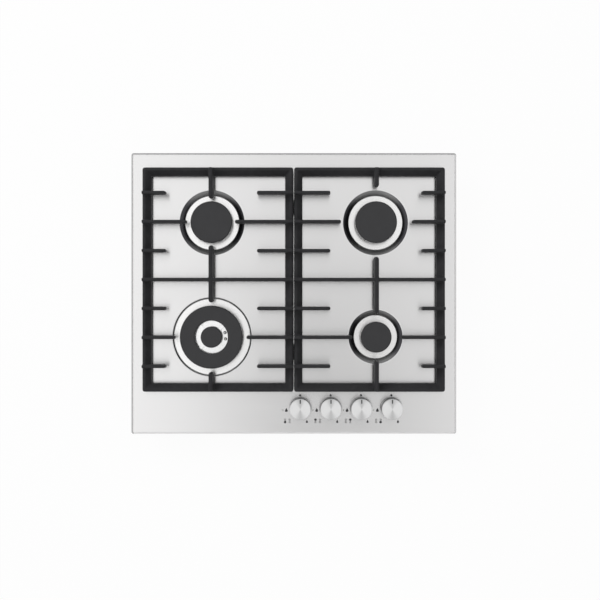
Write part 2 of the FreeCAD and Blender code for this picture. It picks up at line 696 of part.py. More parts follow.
def make_plate():
    body = new_body("top_plate")
    outline = new_sketch(body, "XY", "outline", level="tray_height")
    rounded_rectangle(outline, "plate_width / 2", "plate_depth / 2", "plate_corner")
    lean = "-atan(rim_slope / rim_height)"
    pad(body, outline, "rim_height", draft=lean)
    hollow = new_sketch(body, "XY", "hollow", level="tray_height")
    rounded_rectangle(
        hollow,
        "plate_width / 2 - plate_gauge",
        "plate_depth / 2 - plate_gauge",
        "plate_corner - plate_gauge",
    )
    pocket(body, hollow, "rim_height - plate_gauge", upward=True, draft=lean)
    for burner in BURNERS:
        mouth = new_sketch(body, "XY", burner.name + "_mouth", burner.x, burner.y, DECK)
        circle(mouth, f"{burner.well_outer} + plate_gauge / 2")
        pocket(body, mouth, "plate_gauge")
        lean = f"(plate_gauge * tan(atan({burner.drop} / {burner.slope}) / 2))"
        low = f"({burner.floor} - plate_gauge)"
        weld = f"({burner.well_outer} + plate_gauge)"
        revolve(
            body,
            burner.name + "_well",
            [
                (burner.throat, low),
                (f"{burner.well_inner} + {lean}", low),
                (f"{burner.well_outer} + {lean}", UNDERSIDE),
                (weld, UNDERSIDE),
                (weld, DECK),
                (burner.well_outer, DECK),
                (burner.well_inner, burner.floor),
                (burner.throat, burner.floor),
            ],
            burner.x,
            burner.y,
        )
    holes = new_sketch(body, "XY", "holes", level=DECK)
    for index in range(len(BURNERS)):
        circle(holes, "spindle_hole", tap_x(index), "-knob_line")
    for burner in BURNERS:
        for angle in SCREW_ANGLES:
            circle(holes, "screw_radius + fit", *burner.at(burner.screw_line, angle))
        if not burner.wok:
            for kind in ("spark", "probe"):
                circle(holes, "electrode_hole", *burner.electrode(kind))
    pocket(body, holes, "2 * well_drop")


def make_cup(burner):
    body = new_body("burner_cup_" + burner.name, burner.x, burner.y, "0", turned(burner.inlet))
    top = f"({burner.floor} - plate_gauge)"
    under = f"({top} - cup_flange)"
    base_top = f"({burner.cup_bottom} + cup_base)"
    flange = f"({burner.cap} + cup_reach)"
    revolve(
        body,
        "bowl",
        [
            ("0", burner.cup_bottom),
            (burner.cup_outer, burner.cup_bottom),
            (burner.cup_outer, under),
            (flange, under),
            (flange, top),
            (burner.throat, top),
            (burner.throat, base_top),
            ("0", base_top),
        ],
    )
    nipple = new_sketch(body, "YZ", "nipple", level=f"{burner.cup_outer} - cup_wall")
    circle(nipple, "boss_radius", "0", "pipe_level")
    pad(body, nipple, "boss_reach + cup_wall")
    way = new_sketch(body, "YZ", "way", level=f"{burner.cup_outer} + boss_reach")
    circle(way, "gas_way", "0", "pipe_level")
    pocket(body, way, f"{burner.cup_outer} + boss_reach")
    seat = new_sketch(body, "XY", "injector_seat", level=base_top)
    circle(seat, "injector_thread + fit")
    pocket(body, seat, "cup_base / 2")
    holes = new_sketch(body, "XY", "holes", level=top)
    for angle in SCREW_ANGLES:
        around = angle - burner.inlet
        circle(
            holes,
            "screw_radius + fit",
            f"{burner.screw_line} * cos({around})",
            f"{burner.screw_line} * sin({around})",
        )
    reach = burner.electrode_radius()
    for kind in ("spark", "probe"):
        angle = f"wok_{kind}_angle" if burner.wok else f"{kind}_angle"
        around = f"({angle} - ({burner.inlet}))"
        circle(holes, "electrode_hole", f"{reach} * cos({around})", f"{reach} * sin({around})")
    pocket(body, holes, f"{top} - {burner.cup_bottom}")


def make_spreader(burner):
    """An aluminium flame spreader: skirt, rim, chamber and a crown with ports."""
    body = new_body("flame_spreader_" + burner.name, burner.x, burner.y, burner.floor)
    crown = f"({burner.cap} - crown_setback)"
    skirt = f"({burner.throat} - spindle_play)"
    outer_side = [
        (f"{skirt} - skirt_wall", "-skirt_depth"),
        (skirt, "-skirt_depth"),
        (skirt, "0"),
        (f"{burner.cap} - flange_setback", "0"),
        (f"{burner.cap} - flange_setback", "flange_thickness"),
        (crown, "flange_thickness"),
        (crown, "crown_height"),
        (f"{crown} - crown_wall", "crown_height"),
    ]
    if burner.wok:
        centre = "(centre_cap - centre_setback)"
        inner_side = [
            (f"{crown} - crown_wall", "annulus_height"),
            ("ring_wall_radius", "annulus_height"),
            ("ring_wall_radius", "crown_height"),
            ("ring_wall_radius - crown_wall", "crown_height"),
            ("ring_wall_radius - crown_wall", "annulus_height"),
            (centre, "annulus_height"),
            (centre, "crown_height"),
            (f"{centre} - crown_wall", "crown_height"),
            (f"{centre} - crown_wall", "annulus_height - annulus_floor"),
            (f"{skirt} - skirt_wall", "annulus_height - annulus_floor"),
        ]
    else:
        inner_side = [
            (f"{crown} - crown_wall", "chamber_floor"),
            (f"{skirt} - skirt_wall", "chamber_floor"),
        ]
    revolve(body, "casting", outer_side + inner_side)
    if burner.wok:
        bridges = new_sketch(body, "XY", "bridge", level="annulus_height")
        run = "(ring_wall_radius - crown_wall / 2)"
        half = "bridge_width / 2"
        turn = "cos(45)"
        near = f"({centre} - crown_wall / 2)"
        polygon(
            bridges,
            [
                (f"({near} + {half}) * {turn}", f"({near} - {half}) * {turn}"),
                (f"({run} + {half}) * {turn}", f"({run} - {half}) * {turn}"),
                (f"({run} - {half}) * {turn}", f"({run} + {half}) * {turn}"),
                (f"({near} - {half}) * {turn}", f"({near} + {half}) * {turn}"),
            ],
        )
        polar(body, pad(body, bridges, "bridge_height"), "4")
    walls = [("ports", f"{crown} - crown_wall", crown, burner.ports)]
    if burner.wok:
        walls.append(
            ("inner_ports", "ring_wall_radius - crown_wall", "ring_wall_radius", "inner_ports")
        )
        walls.append(("centre_ports", f"{centre} - crown_wall", centre, "centre_ports"))
    for name, inside, outside, count in walls:
        slot = new_sketch(body, "XZ", name)
        rectangle(
            slot,
            f"{inside} - slot_overrun",
            f"{outside} + slot_overrun",
            "crown_height - port_height",
            "crown_height + slot_overrun",
        )
        polar(body, pocket(body, slot, "port_width", symmetric=True), count)
    notches = new_sketch(body, "XY", "notches", level="annulus_height")
    for kind in ("spark", "probe"):
        angle = f"wok_{kind}_angle" if burner.wok else f"{kind}_angle"
        reach = burner.electrode_radius()
        circle(notches, "electrode_hole", f"{reach} * cos({angle})", f"{reach} * sin({angle})")
    pocket(body, notches, "2 * annulus_height")


def make_cap(burner):
    """A plain round cap, with a ring below that centres it in the crown."""
    body = new_body("burner_cap_" + burner.name, burner.x, burner.y, f"{burner.floor} + crown_height")
    lip = f"({burner.cap} - crown_setback - crown_wall - spindle_play)"
    revolve(
        body,
        "disc",
        [
            ("0", "0"),
            (f"{lip} - cap_lip", "0"),
            (f"{lip} - cap_lip", "-cap_lip"),
            (lip, "-cap_lip"),
            (lip, "0"),
            (burner.cap, "0"),
            (burner.cap, "cap_thickness"),
            ("0", "cap_thickness"),
        ],
    )
    radius, height = size(burner.cap), size("cap_thickness")
    round_edges(body, "edge", "cap_round", lambda edge: is_circle(edge, radius, height))


def make_wok_caps(burner):
    top = f"{burner.floor} + crown_height"
    height = size("cap_thickness")
    ring = new_body("wok_ring_cap", burner.x, burner.y, top)
    lip = f"({burner.cap} - crown_setback - crown_wall - spindle_play)"
    revolve(
        ring,
        "ring",
        [
            ("wok_cap_bore", "0"),
            (f"{lip} - cap_lip", "0"),
            (f"{lip} - cap_lip", "-cap_lip"),
            (lip, "-cap_lip"),
            (lip, "0"),
            (burner.cap, "0"),
            (burner.cap, "cap_thickness"),
            ("wok_cap_bore", "cap_thickness"),
        ],
    )
    rims = (size(burner.cap), size("wok_cap_bore"))
    round_edges(
        ring,
        "edges",
        "cap_round",
        lambda edge: any(is_circle(edge, radius, height) for radius in rims),
    )
    centre = new_body("wok_centre_cap", burner.x, burner.y, top)
    lip = "(centre_cap - centre_setback - crown_wall - spindle_play)"
    revolve(
        centre,
        "disc",
        [
            ("0", "0"),
            (f"{lip} - cap_lip", "0"),
            (f"{lip} - cap_lip", "-cap_lip"),
            (lip, "-cap_lip"),
            (lip, "0"),
            ("centre_cap", "0"),
            ("centre_cap", "cap_thickness"),
            ("0", "cap_thickness"),
        ],
    )
    radius = size("centre_cap")
    round_edges(centre, "edge", "cap_round", lambda edge: is_circle(edge, radius, height))


def make_injectors():
    master = new_body("injector", kept=False)
    revolve(
        master,
        "thread",
        [
            ("jet_radius", "-injector_depth"),
            ("injector_thread", "-injector_depth"),
            ("injector_thread", "0"),
            ("injector_radius", "0"),
            ("injector_radius", "injector_height"),
            ("jet_radius", "injector_height"),
        ],
    )
    group(
        "injectors",
        [(master, b.x, b.y, f"{b.cup_bottom} + cup_base", None) for b in BURNERS],
    )


def make_screw(label, shank):
    """A pan-head screw, head below, whose shank points up from the origin."""
    body = new_body(label, kept=False)
    revolve(
        body,
        "turned",
        [
            ("0", "-screw_head_height"),
            ("screw_head - head_bevel", "-screw_head_height"),
            ("screw_head", "-screw_head_height + head_bevel"),
            ("screw_head", "0"),
            ("screw_radius", "0"),
            ("screw_radius", shank),
            ("0", shank),
        ],
    )
    slot = new_sketch(body, "XY", "slot", level="-screw_head_height")
    rectangle(slot, "-screw_head", "screw_head", "-screw_slot / 2", "screw_slot / 2")
    pocket(body, slot, "screw_slot", upward=True)
    return body


def make_burner_screws():
    master = make_screw("burner_screw", "cup_flange + plate_gauge - fit")
    placed = []
    for burner in BURNERS:
        for angle in SCREW_ANGLES:
            x, y = burner.at(burner.screw_line, angle)
            placed.append((master, x, y, f"{burner.floor} - plate_gauge - cup_flange", None))
    group("burner_screws", placed)


def electrode_profile(radius, rise, tip):
    """A collar and terminal below the seat at zero, and a rod above it with a thinner tip."""
    return [
        ("0", "-collar_height - terminal_length"),
        ("terminal_radius", "-collar_height - terminal_length"),
        ("terminal_radius", "-collar_height"),
        ("collar_radius", "-collar_height"),
        ("collar_radius", "0"),
        (radius, "0"),
        (radius, f"{rise} - tip_length - tip_taper"),
        (tip, f"{rise} - tip_length"),
        (tip, rise),
        ("0", rise),
    ]


def make_electrodes(label, kind, radius, tip):
    placed = []
    for wok in (False, True):
        chosen = [b for b in BURNERS if b.wok == wok]
        first = chosen[0]
        master = new_body(f"{kind}_wok" if wok else kind, kept=False)
        rise = f"({first.floor} + crown_height - spark_gap - {first.electrode_seat()})"
        revolve(master, "rod", electrode_profile(radius, rise, tip))
        for burner in chosen:
            x, y = burner.electrode(kind)
            placed.append((master, x, y, burner.electrode_seat(), None))
    group(label, placed)


# ---------------------------------------------------------------- pan supports


def make_pan_support(side, turn):
    """One casting, drawn as the left one, with the burner line left of its middle."""
    way = -1 if side == "left" else 1
    body = new_body(
        "pan_support_" + side, f"{way} * {SUPPORT_OFFSET}", "support_middle", DECK, turned(turn)
    )
    half_x, half_y = "support_width / 2", "support_depth / 2"
    outline = new_sketch(body, "XY", "outline", level="frame_clear")
    rounded_rectangle(outline, half_x, half_y, "frame_corner")
    pad(body, outline, "frame_top - frame_clear")
    ridge = size("frame_top")
    round_edges(
        body,
        "shoulder",
        "frame_shoulder",
        lambda edge: all(abs(v.Z - ridge) < 0.01 for v in edge.Vertexes),
    )
    opening = new_sketch(body, "XY", "opening", level="frame_top")
    inner_x = f"({half_x} - frame_width)"
    inner_y = f"({half_y} - frame_width)"
    rectangle(opening, f"-{inner_x}", inner_x, f"-{inner_y}", inner_y)
    pocket(body, opening, "frame_top")
    slope = new_sketch(body, "XY", "slope", level="frame_top")
    land_x = f"({half_x} - frame_land)"
    land_y = f"({half_y} - frame_land)"
    rectangle(slope, f"-{land_x}", land_x, f"-{land_y}", land_y)
    pocket(body, slope, "frame_slope", draft="-atan((frame_width - frame_land) / frame_slope)")

    burner_line = f"({SUPPORT_OFFSET} - burner_offset)"
    rear, front = "(2 * finger_pitch)", "(-2 * finger_pitch)"
    fingers = new_sketch(body, "XY", "fingers", level="finger_top")
    root_left = f"(-{half_x} + finger_inset)"
    root_right = f"({half_x} - finger_inset)"
    for row in (-3, -1, 1, 3):
        line = f"{row} * finger_pitch"
        tip = f"-{half_x} + short_outer_reach"
        finger_outline(fingers, root_left, tip, line, "finger_width")
        tip = f"{half_x} - short_inner_reach"
        finger_outline(fingers, root_right, tip, line, "finger_width")
    for line, gap in ((rear, "near_tip"), (front, "far_tip")):
        finger_outline(fingers, root_left, f"{burner_line} - {gap}", line, "finger_width")
        finger_outline(fingers, root_right, f"{burner_line} + {gap}", line, "finger_width")
    rectangle(fingers, root_left, root_right, "-finger_width / 2", "finger_width / 2")
    pad(body, fingers, "finger_depth", downward=True, draft="finger_draft")

    spines = new_sketch(body, "XY", "spines", level="finger_top")
    finger_outline(
        spines,
        f"{half_y} - spine_inset",
        f"{rear} + near_tip",
        burner_line,
        "spine_width",
        upright=True,
    )
    finger_outline(
        spines,
        f"{rear} - near_tip",
        f"{front} + far_tip",
        burner_line,
        "spine_width",
        upright=True,
        both_round=True,
    )
    finger_outline(
        spines,
        f"-{half_y} + spine_inset",
        f"{front} - far_tip",
        burner_line,
        "spine_width",
        upright=True,
    )
    pad(body, spines, "finger_depth", downward=True, draft="spine_draft")

    feet = new_sketch(body, "XY", "feet", level="pad_height")
    lugs = new_sketch(body, "XY", "lugs", level="pad_height")
    for sign in (-1, 1):
        low = f"{sign} * foot_line - foot_length / 2"
        high = f"{sign} * foot_line + foot_length / 2"
        outside, inside = f"{half_x} - foot_inset", f"{half_x} - frame_width + foot_inset"
        rectangle(feet, f"-({outside})", f"-({inside})", low, high)
        edge = f"{half_x} + (support_gap - lug_gap) / 2"
        rectangle(lugs, inside, edge, low, high)
    pad(body, feet, "frame_clear - pad_height + foot_inset")
    pad(body, lugs, "lug_height")
    stems = new_sketch(body, "XY", "stems", level="pad_height")
    for x, y in foot_places():
        circle(stems, "pad_stem + fit", x, y)
    pocket(body, stems, "pad_stem_height + fit", upward=True)


def foot_places():
    """The four rubber feet in a casting's own frame."""
    across = "(support_width / 2 - frame_width / 2)"
    return [(f"{a} * {across}", f"{b} * foot_line") for a in (-1, 1) for b in (-1, 1)]


def make_rubber_feet(side):
    way = -1 if side == "left" else 1
    master = new_body("rubber_foot_" + side, kept=False)
    revolve(
        master,
        "pad",
        [
            ("0", "0"),
            ("pad_radius", "0"),
            ("pad_radius", "pad_height"),
            ("pad_stem", "pad_height"),
            ("pad_stem", "pad_height + pad_stem_height"),
            ("0", "pad_height + pad_stem_height"),
        ],
    )
    placed = []
    for x, y in foot_places():
        placed.append(
            (master, f"{way} * {SUPPORT_OFFSET} + {x}", f"support_middle + {y}", DECK, None)
        )
    group("support_feet_" + side, placed)


# ---------------------------------------------------------------- tray and seal


def make_tray():
    body = new_body("base_tray")
    top = f"({UNDERSIDE} - fit)"
    outline = new_sketch(body, "XY", "outline")
    rounded_rectangle(outline, TRAY_SIDE, TRAY_REAR, "tray_corner")
    pad(body, outline, top)
    rim = new_sketch(body, "XY", "rim", level=top)
    rounded_rectangle(
        rim, f"{TRAY_SIDE} + tray_flange", f"{TRAY_REAR} + tray_flange", "tray_corner + tray_flange"
    )
    pad(body, rim, "tray_gauge", downward=True)
    hollow = new_sketch(body, "XY", "hollow", level=top)
    rounded_rectangle(
        hollow, f"{TRAY_SIDE} - tray_gauge", f"{TRAY_REAR} - tray_gauge", "tray_corner - tray_gauge"
    )
    pocket(body, hollow, f"{top} - tray_gauge")
    for name, x in (("left_vents", "-tray_width / 4"), ("right_vents", "tray_width / 4")):
        first = "-vent_pitch * (vent_count - 1) / 2"
        vents = new_sketch(body, "XY", name, x=x, y=first, level="tray_gauge")
        rectangle(vents, "-vent_length / 2", "vent_length / 2", "-vent_width / 2", "vent_width / 2")
        linear(body, pocket(body, vents, "tray_gauge"), "Y_Axis", "vent_pitch", "vent_count")
    back = new_sketch(body, "XZ", "back_holes", level=f"-{TRAY_REAR}")
    circle(back, "inlet_thread + fit", "inlet_offset", "manifold_level")
    circle(back, "gland_radius + fit", "-gland_offset", "gland_level")
    pocket(body, back, "2 * tray_gauge", symmetric=True)
    for name, sign in (("front_screws", -1), ("rear_screws", 1)):
        holes = new_sketch(body, "XZ", name, level=f"{-sign} * {TRAY_REAR}")
        for x in ("-bracket_line", "bracket_line"):
            circle(holes, "screw_radius + fit", x, f"{UNDERSIDE} - bracket_leg")
        pocket(body, holes, "2 * tray_gauge", symmetric=True)
    for name, sign in (("left_screws", -1), ("right_screws", 1)):
        holes = new_sketch(body, "YZ", name, level=f"{sign} * {TRAY_SIDE}")
        for y in ("-clip_line", "clip_line"):
            circle(holes, "screw_radius + fit", y, CLIP_SCREW_LEVEL)
        pocket(body, holes, "2 * tray_gauge", symmetric=True)


def make_seal():
    body = new_body("sealing_strip")
    outer = new_sketch(body, "XY", "strip", level="tray_height")
    for inset in ("seal_inset", "(seal_inset + seal_width)"):
        rectangle(
            outer,
            f"-plate_width / 2 + {inset}",
            f"plate_width / 2 - {inset}",
            f"-plate_depth / 2 + {inset}",
            f"plate_depth / 2 - {inset}",
        )
    pad(body, outer, "rim_height - plate_gauge")


def make_clips():
    """Angle clips on the tray's sides that hold the cooktop to the worktop, and their screws."""
    clip = new_body("worktop_clip", kept=False)
    profile = new_sketch(clip, "XZ", "angle")
    polygon(
        profile,
        [
            ("0", "0"),
            ("clip_reach", "0"),
            ("clip_reach", "clip_gauge"),
            ("clip_gauge", "clip_gauge"),
            ("clip_gauge", "clip_height"),
            ("0", "clip_height"),
        ],
    )
    pad(clip, profile, "clip_width", symmetric=True)
    hole = new_sketch(clip, "YZ", "hole", level="clip_gauge")
    circle(hole, "screw_radius + fit", "0", "clip_height / 2 + clip_hole_rise")
    pocket(clip, hole, "clip_gauge")
    screw = make_screw("clip_screw", "clip_gauge + tray_gauge + clip_screw_grip")
    clips, screws = [], []
    for sign in (-1, 1):
        for y in ("-clip_line", "clip_line"):
            turn = turned(0 if sign > 0 else 180)
            clips.append((clip, f"{sign} * {TRAY_SIDE}", y, "clip_level", turn))
            inward = Rotation(Vector(0, 0, 1), Vector(-sign, 0, 0))
            outside = f"{sign} * ({TRAY_SIDE} + clip_gauge)"
            screws.append((screw, outside, y, CLIP_SCREW_LEVEL, inward))
    group("worktop_clips", clips)
    group("clip_screws", screws)


def make_brackets():
    """Angles welded under the plate that the tray is screwed to, and their screws."""
    bracket = new_body("tray_bracket", kept=False)
    profile = new_sketch(bracket, "YZ", "angle")
    polygon(
        profile,
        [
            ("0", "-fit"),
            ("-bracket_leg", "-fit"),
            ("-bracket_leg", "-fit - clip_gauge"),
            ("-clip_gauge", "-fit - clip_gauge"),
            ("-clip_gauge", "-bracket_leg - screw_head - fit"),
            ("0", "-bracket_leg - screw_head - fit"),
        ],
    )
    pad(bracket, profile, "bracket_width", symmetric=True)
    hole = new_sketch(bracket, "XZ", "hole")
    circle(hole, "screw_radius + fit", "0", "-bracket_leg")
    pocket(bracket, hole, "2 * clip_gauge", symmetric=True)
    screw = make_screw("tray_screw", "clip_gauge + tray_gauge + tray_screw_grip")
    brackets, screws = [], []
    for sign in (-1, 1):
        for x in ("-bracket_line", "bracket_line"):
            turn = turned(0 if sign > 0 else 180)
            inside = f"{sign} * ({TRAY_REAR} - tray_gauge)"
            brackets.append((bracket, x, inside, UNDERSIDE, turn))
            inward = Rotation(Vector(0, 0, 1), Vector(0, -sign, 0))
            screws.append((screw, x, f"{sign} * {TRAY_REAR}", f"{UNDERSIDE} - bracket_leg", inward))
    group("tray_brackets", brackets)
    group("tray_screws", screws)


# ---------------------------------------------------------------- knobs and taps


def make_knob(index, burner):
    body = new_body("knob_" + burner.name, tap_x(index), "-knob_line", DECK)
    foot_top = f"({KNOB_FOOT} + knob_skirt_height)"
    bore = "(spindle_radius + fit)"
    roof = "(knob_height - knob_roof)"
    hub_foot = f"({KNOB_FOOT} + hub_recess)"
    revolve(
        body,
        "shell",
        [
            (bore, hub_foot),
            ("knob_hub", hub_foot),
            ("knob_hub", roof),
            ("knob_radius - knob_wall", roof),
            ("knob_radius - knob_wall + knob_flare", KNOB_FOOT),
            ("knob_skirt", KNOB_FOOT),
            ("knob_skirt", f"{foot_top} - skirt_bevel"),
            ("knob_skirt - skirt_bevel", foot_top),
            ("knob_radius + skirt_bevel", foot_top),
            ("knob_radius", "knob_height - knob_edge"),
            ("knob_radius - knob_edge", "knob_height"),
            ("0", "knob_height"),
            ("0", roof),
            (bore, roof),
        ],
    )
    key_foot = f"({hub_foot} + spindle_in_knob - spindle_grip + fit)"
    key = new_sketch(body, "XY", "key", level=key_foot)
    side = "(spindle_radius - key_inset)"
    rectangle(key, "spindle_flat + fit", "spindle_radius + key_inset", f"-{side}", side)
    pad(body, key, f"{roof} - {key_foot}")
    line = new_sketch(body, "XY", "pointer", level="knob_height")
    rectangle(
        line,
        "-pointer_width / 2",
        "pointer_width / 2",
        "knob_radius - pointer_inset - pointer_length",
        "knob_radius - pointer_inset",
    )
    pocket(body, line, "pointer_depth")


def make_spindle(index, burner):
    body = new_body("spindle_" + burner.name, tap_x(index), "-knob_line")
    top = f"({DECK} + {KNOB_FOOT} + hub_recess + spindle_in_knob)"
    foot = f"({SPRING_FLOOR} - spindle_tail)"
    revolve(
        body,
        "rod",
        [
            ("0", foot),
            ("spindle_radius", foot),
            ("spindle_radius", THRUST_TOP),
            ("collar_reach", THRUST_TOP),
            ("collar_reach", COLLAR_TOP),
            ("spindle_radius", COLLAR_TOP),
            ("spindle_radius", top),
            ("0", top),
        ],
    )
    flat = new_sketch(body, "XY", "flat", level=top)
    rectangle(flat, "spindle_flat", "2 * spindle_radius", "-spindle_radius", "spindle_radius")
    pocket(body, flat, "spindle_grip")


def make_thrust_ring(index, burner):
    body = new_body("thrust_ring_" + burner.name, tap_x(index), "-knob_line")
    bore = "(spindle_radius + spindle_play)"
    low = f"({THRUST_TOP} - thrust_thickness)"
    revolve(
        body,
        "ring",
        [(bore, low), ("collar_reach", low), ("collar_reach", THRUST_TOP), (bore, THRUST_TOP)],
    )


def make_taps():
    """Brass taps: block, neck with room for ring and spring, gas stub below and nipple behind."""
    tap = new_body("tap", kept=False)
    block = new_sketch(tap, "XY", "block", level=TAP_BOTTOM)
    rectangle(block, "-tap_width / 2", "tap_width / 2", "-tap_length / 2", "tap_length / 2")
    pad(tap, block, f"tap_top - {TAP_BOTTOM}")
    neck = new_sketch(tap, "XY", "neck", level="tap_top")
    circle(neck, "neck_radius")
    pad(tap, neck, "neck_height")
    stub = new_sketch(tap, "XY", "stub", level=TAP_BOTTOM)
    circle(stub, "boss_radius - stub_play")
    pad(tap, stub, "3 * manifold_wall", downward=True)
    nipple = new_sketch(tap, "XZ", "nipple")
    circle(nipple, "boss_radius", "0", "pipe_level")
    pad(tap, nipple, "tap_length / 2 + boss_reach", downward=True)
    mouth = new_sketch(tap, "XY", "mouth", level=NECK_TOP)
    circle(mouth, "spindle_radius + spindle_play")
    pocket(tap, mouth, f"{NECK_TOP} - {SPRING_FLOOR} + spindle_tail + press_travel + bottom_room")
    room = f"({NECK_TOP} - neck_lip)"
    groove = new_sketch(tap, "XZ", "room")
    rectangle(groove, "0", "collar_reach + spindle_play", SPRING_FLOOR, room)
    cut = tap.newObject("PartDesign::Groove", "tap_room_turned")
    cut.Profile = groove
    cut.ReferenceAxis = (groove, ["V_Axis"])
    cut.Angle = 360
    ways = new_sketch(tap, "XZ", "outlet_way", level="-tap_length / 2 - boss_reach")
    circle(ways, "gas_way", "0", "pipe_level")
    pocket(tap, ways, "tap_length / 2 + boss_reach", upward=True)
    inlet = new_sketch(tap, "XY", "inlet_way", level=f"{TAP_BOTTOM} - 3 * manifold_wall")
    circle(inlet, "gas_way")
    pocket(tap, inlet, f"pipe_level - {TAP_BOTTOM} + 3 * manifold_wall", upward=True)
    holes = new_sketch(tap, "XY", "rail_holes", level="tap_top")
    for x, y in rail_screw_places():
        circle(holes, "screw_radius + fit", x, y)
    pocket(tap, holes, "rail_screw_depth + 3 * fit")
    under = new_sketch(tap, "XY", "saddle_holes", level=TAP_BOTTOM)
    for sign in (-1, 1):
        circle(under, "screw_radius + fit", "0", f"{sign} * {SADDLE_LINE}")
    pocket(tap, under, "saddle_screw_depth + 3 * fit", upward=True)
    group("tap_bodies", [(tap, tap_x(i), "-knob_line", "0", None) for i in range(len(BURNERS))])


def rail_screw_places():
    """The two screws of a tap, across its corners."""
    return [
        (f"{sign} * (tap_width / 2 - screw_head)", f"{sign} * (tap_length / 2 - screw_head + 4 * fit)")
        for sign in (-1, 1)
    ]


def make_rail():
    body = new_body("tap_rail", y="-knob_line")
    profile = new_sketch(body, "XZ", "hat")
    left = "(first_knob - rail_overhang)"
    right = f"({tap_x(3)} + rail_overhang)"
    top = f"({UNDERSIDE} - fit)"
    polygon(
        profile,
        [
            (f"{left} - rail_tab", top),
            (f"{left} - rail_tab", f"{top} - rail_gauge"),
            (f"{left} - rail_gauge", f"{top} - rail_gauge"),
            (f"{left} - rail_gauge", "tap_top"),
            (f"{right} + rail_gauge", "tap_top"),
            (f"{right} + rail_gauge", f"{top} - rail_gauge"),
            (f"{right} + rail_tab", f"{top} - rail_gauge"),
            (f"{right} + rail_tab", top),
            (right, top),
            (right, "tap_top + rail_gauge"),
            (left, "tap_top + rail_gauge"),
            (left, top),
        ],
    )
    pad(body, profile, "rail_width", symmetric=True)
    holes = new_sketch(body, "XY", "holes", level="tap_top + rail_gauge")
    for index in range(len(BURNERS)):
        circle(holes, "neck_radius + fit", tap_x(index), "0")
        for x, y in rail_screw_places():
            circle(holes, "screw_radius + fit", f"{tap_x(index)} + {x}", y)
    pocket(body, holes, "rail_gauge")
    screw = make_screw("rail_screw", "rail_gauge + rail_screw_depth")
    placed = []
    for index in range(len(BURNERS)):
        for x, y in rail_screw_places():
            down = Rotation(Vector(1, 0, 0), 180)
            placed.append(
                (screw, f"{tap_x(index)} + {x}", f"-knob_line + {y}", "tap_top + rail_gauge", down)
            )
    group("rail_screws", placed)


def make_saddles():
    """Bent straps under the manifold, each with two screws into its tap."""
    strap = new_body("saddle", kept=False)
    outer = new_sketch(strap, "YZ", "strap")
    reach = "(manifold_radius + fit + saddle_gauge)"
    circle(outer, reach)
    pad(strap, outer, "saddle_length", symmetric=True)
    ears = new_sketch(strap, "YZ", "ears")
    wide = f"({reach} + saddle_ear)"
    rectangle(ears, f"-{wide}", wide, "-saddle_gauge", "0")
    pad(strap, ears, "saddle_length", symmetric=True)
    inner = new_sketch(strap, "YZ", "inner")
    circle(inner, "manifold_radius + fit")
    pocket(strap, inner, "2 * saddle_length", symmetric=True)
    upper = new_sketch(strap, "YZ", "upper")
    rectangle(upper, f"-{wide}", wide, "0", "2 * manifold_radius")
    pocket(strap, upper, "2 * saddle_length", symmetric=True)
    holes = new_sketch(strap, "XY", "holes")
    for sign in (-1, 1):
        circle(holes, "screw_radius + fit", "0", f"{sign} * {SADDLE_LINE}")
    pocket(strap, holes, "2 * saddle_gauge")
    screw = make_screw("saddle_screw", "saddle_gauge + manifold_radius + saddle_screw_depth")
    straps, screws = [], []
    for index in range(len(BURNERS)):
        straps.append((strap, tap_x(index), "-knob_line", "manifold_level", None))
        for sign in (-1, 1):
            y = f"-knob_line + {sign} * {SADDLE_LINE}"
            screws.append((screw, tap_x(index), y, "manifold_level - saddle_gauge", None))
    group("tap_saddles", straps)
    group("saddle_screws", screws)


def make_switches():
    switch = new_body("ignition_switch", kept=False)
    case = new_sketch(switch, "XY", "case")
    rectangle(case, "0", "switch_width", "-switch_length / 5", "4 * switch_length / 5")
    pad(switch, case, "switch_height")
    button = new_sketch(switch, "YZ", "button")
    circle(button, "button_radius", "0", "switch_height / 2")
    pad(switch, button, "button_length", downward=True)
    placed = []
    for index in range(len(BURNERS)):
        x = f"{tap_x(index)} + switch_offset"
        placed.append((switch, x, "-knob_line", "tap_top + rail_gauge", None))
    group("ignition_switches", placed)


def make_spindle_seals():
    seal = new_body("spindle_seal", kept=False)
    inner = "(spindle_radius + spindle_play)"
    revolve(
        seal,
        "ring",
        [
            (inner, "0"),
            ("spindle_seal", "0"),
            ("spindle_seal - 1", "spindle_seal_height"),
            (inner, "spindle_seal_height"),
        ],
    )
    placed = [(seal, tap_x(i), "-knob_line", DECK, None) for i in range(len(BURNERS))]
    group("spindle_seals", placed)


# ---------------------------------------------------------------- gas pipes


def make_manifold():
    level = size("manifold_level")
    line = -size("knob_line")
    end = size(f"{TRAY_REAR} - tray_gauge - inlet_tail + inlet_relief")
    left = size("first_knob - manifold_overhang")
    right = size("inlet_offset")
    points = [(left, line, level), (right, line, level), (right, end, level)]
    radius = size("manifold_radius")
    bore = size("manifold_radius - manifold_wall")
    pipe = tube(points, radius, size("manifold_bend"), bore)
    cover = Part.makeCylinder(radius, size("manifold_wall"), Vector(*points[0]), Vector(-1, 0, 0))
    pipe = pipe.fuse(cover)
    for index in range(len(BURNERS)):
        middle = Vector(size(tap_x(index)), line, level)
        hole = Part.makeCylinder(size("boss_radius - stub_play + fit"), 2 * radius, middle)
        pipe = pipe.cut(hole)
    shaped("gas_manifold", [pipe.removeSplitter()])


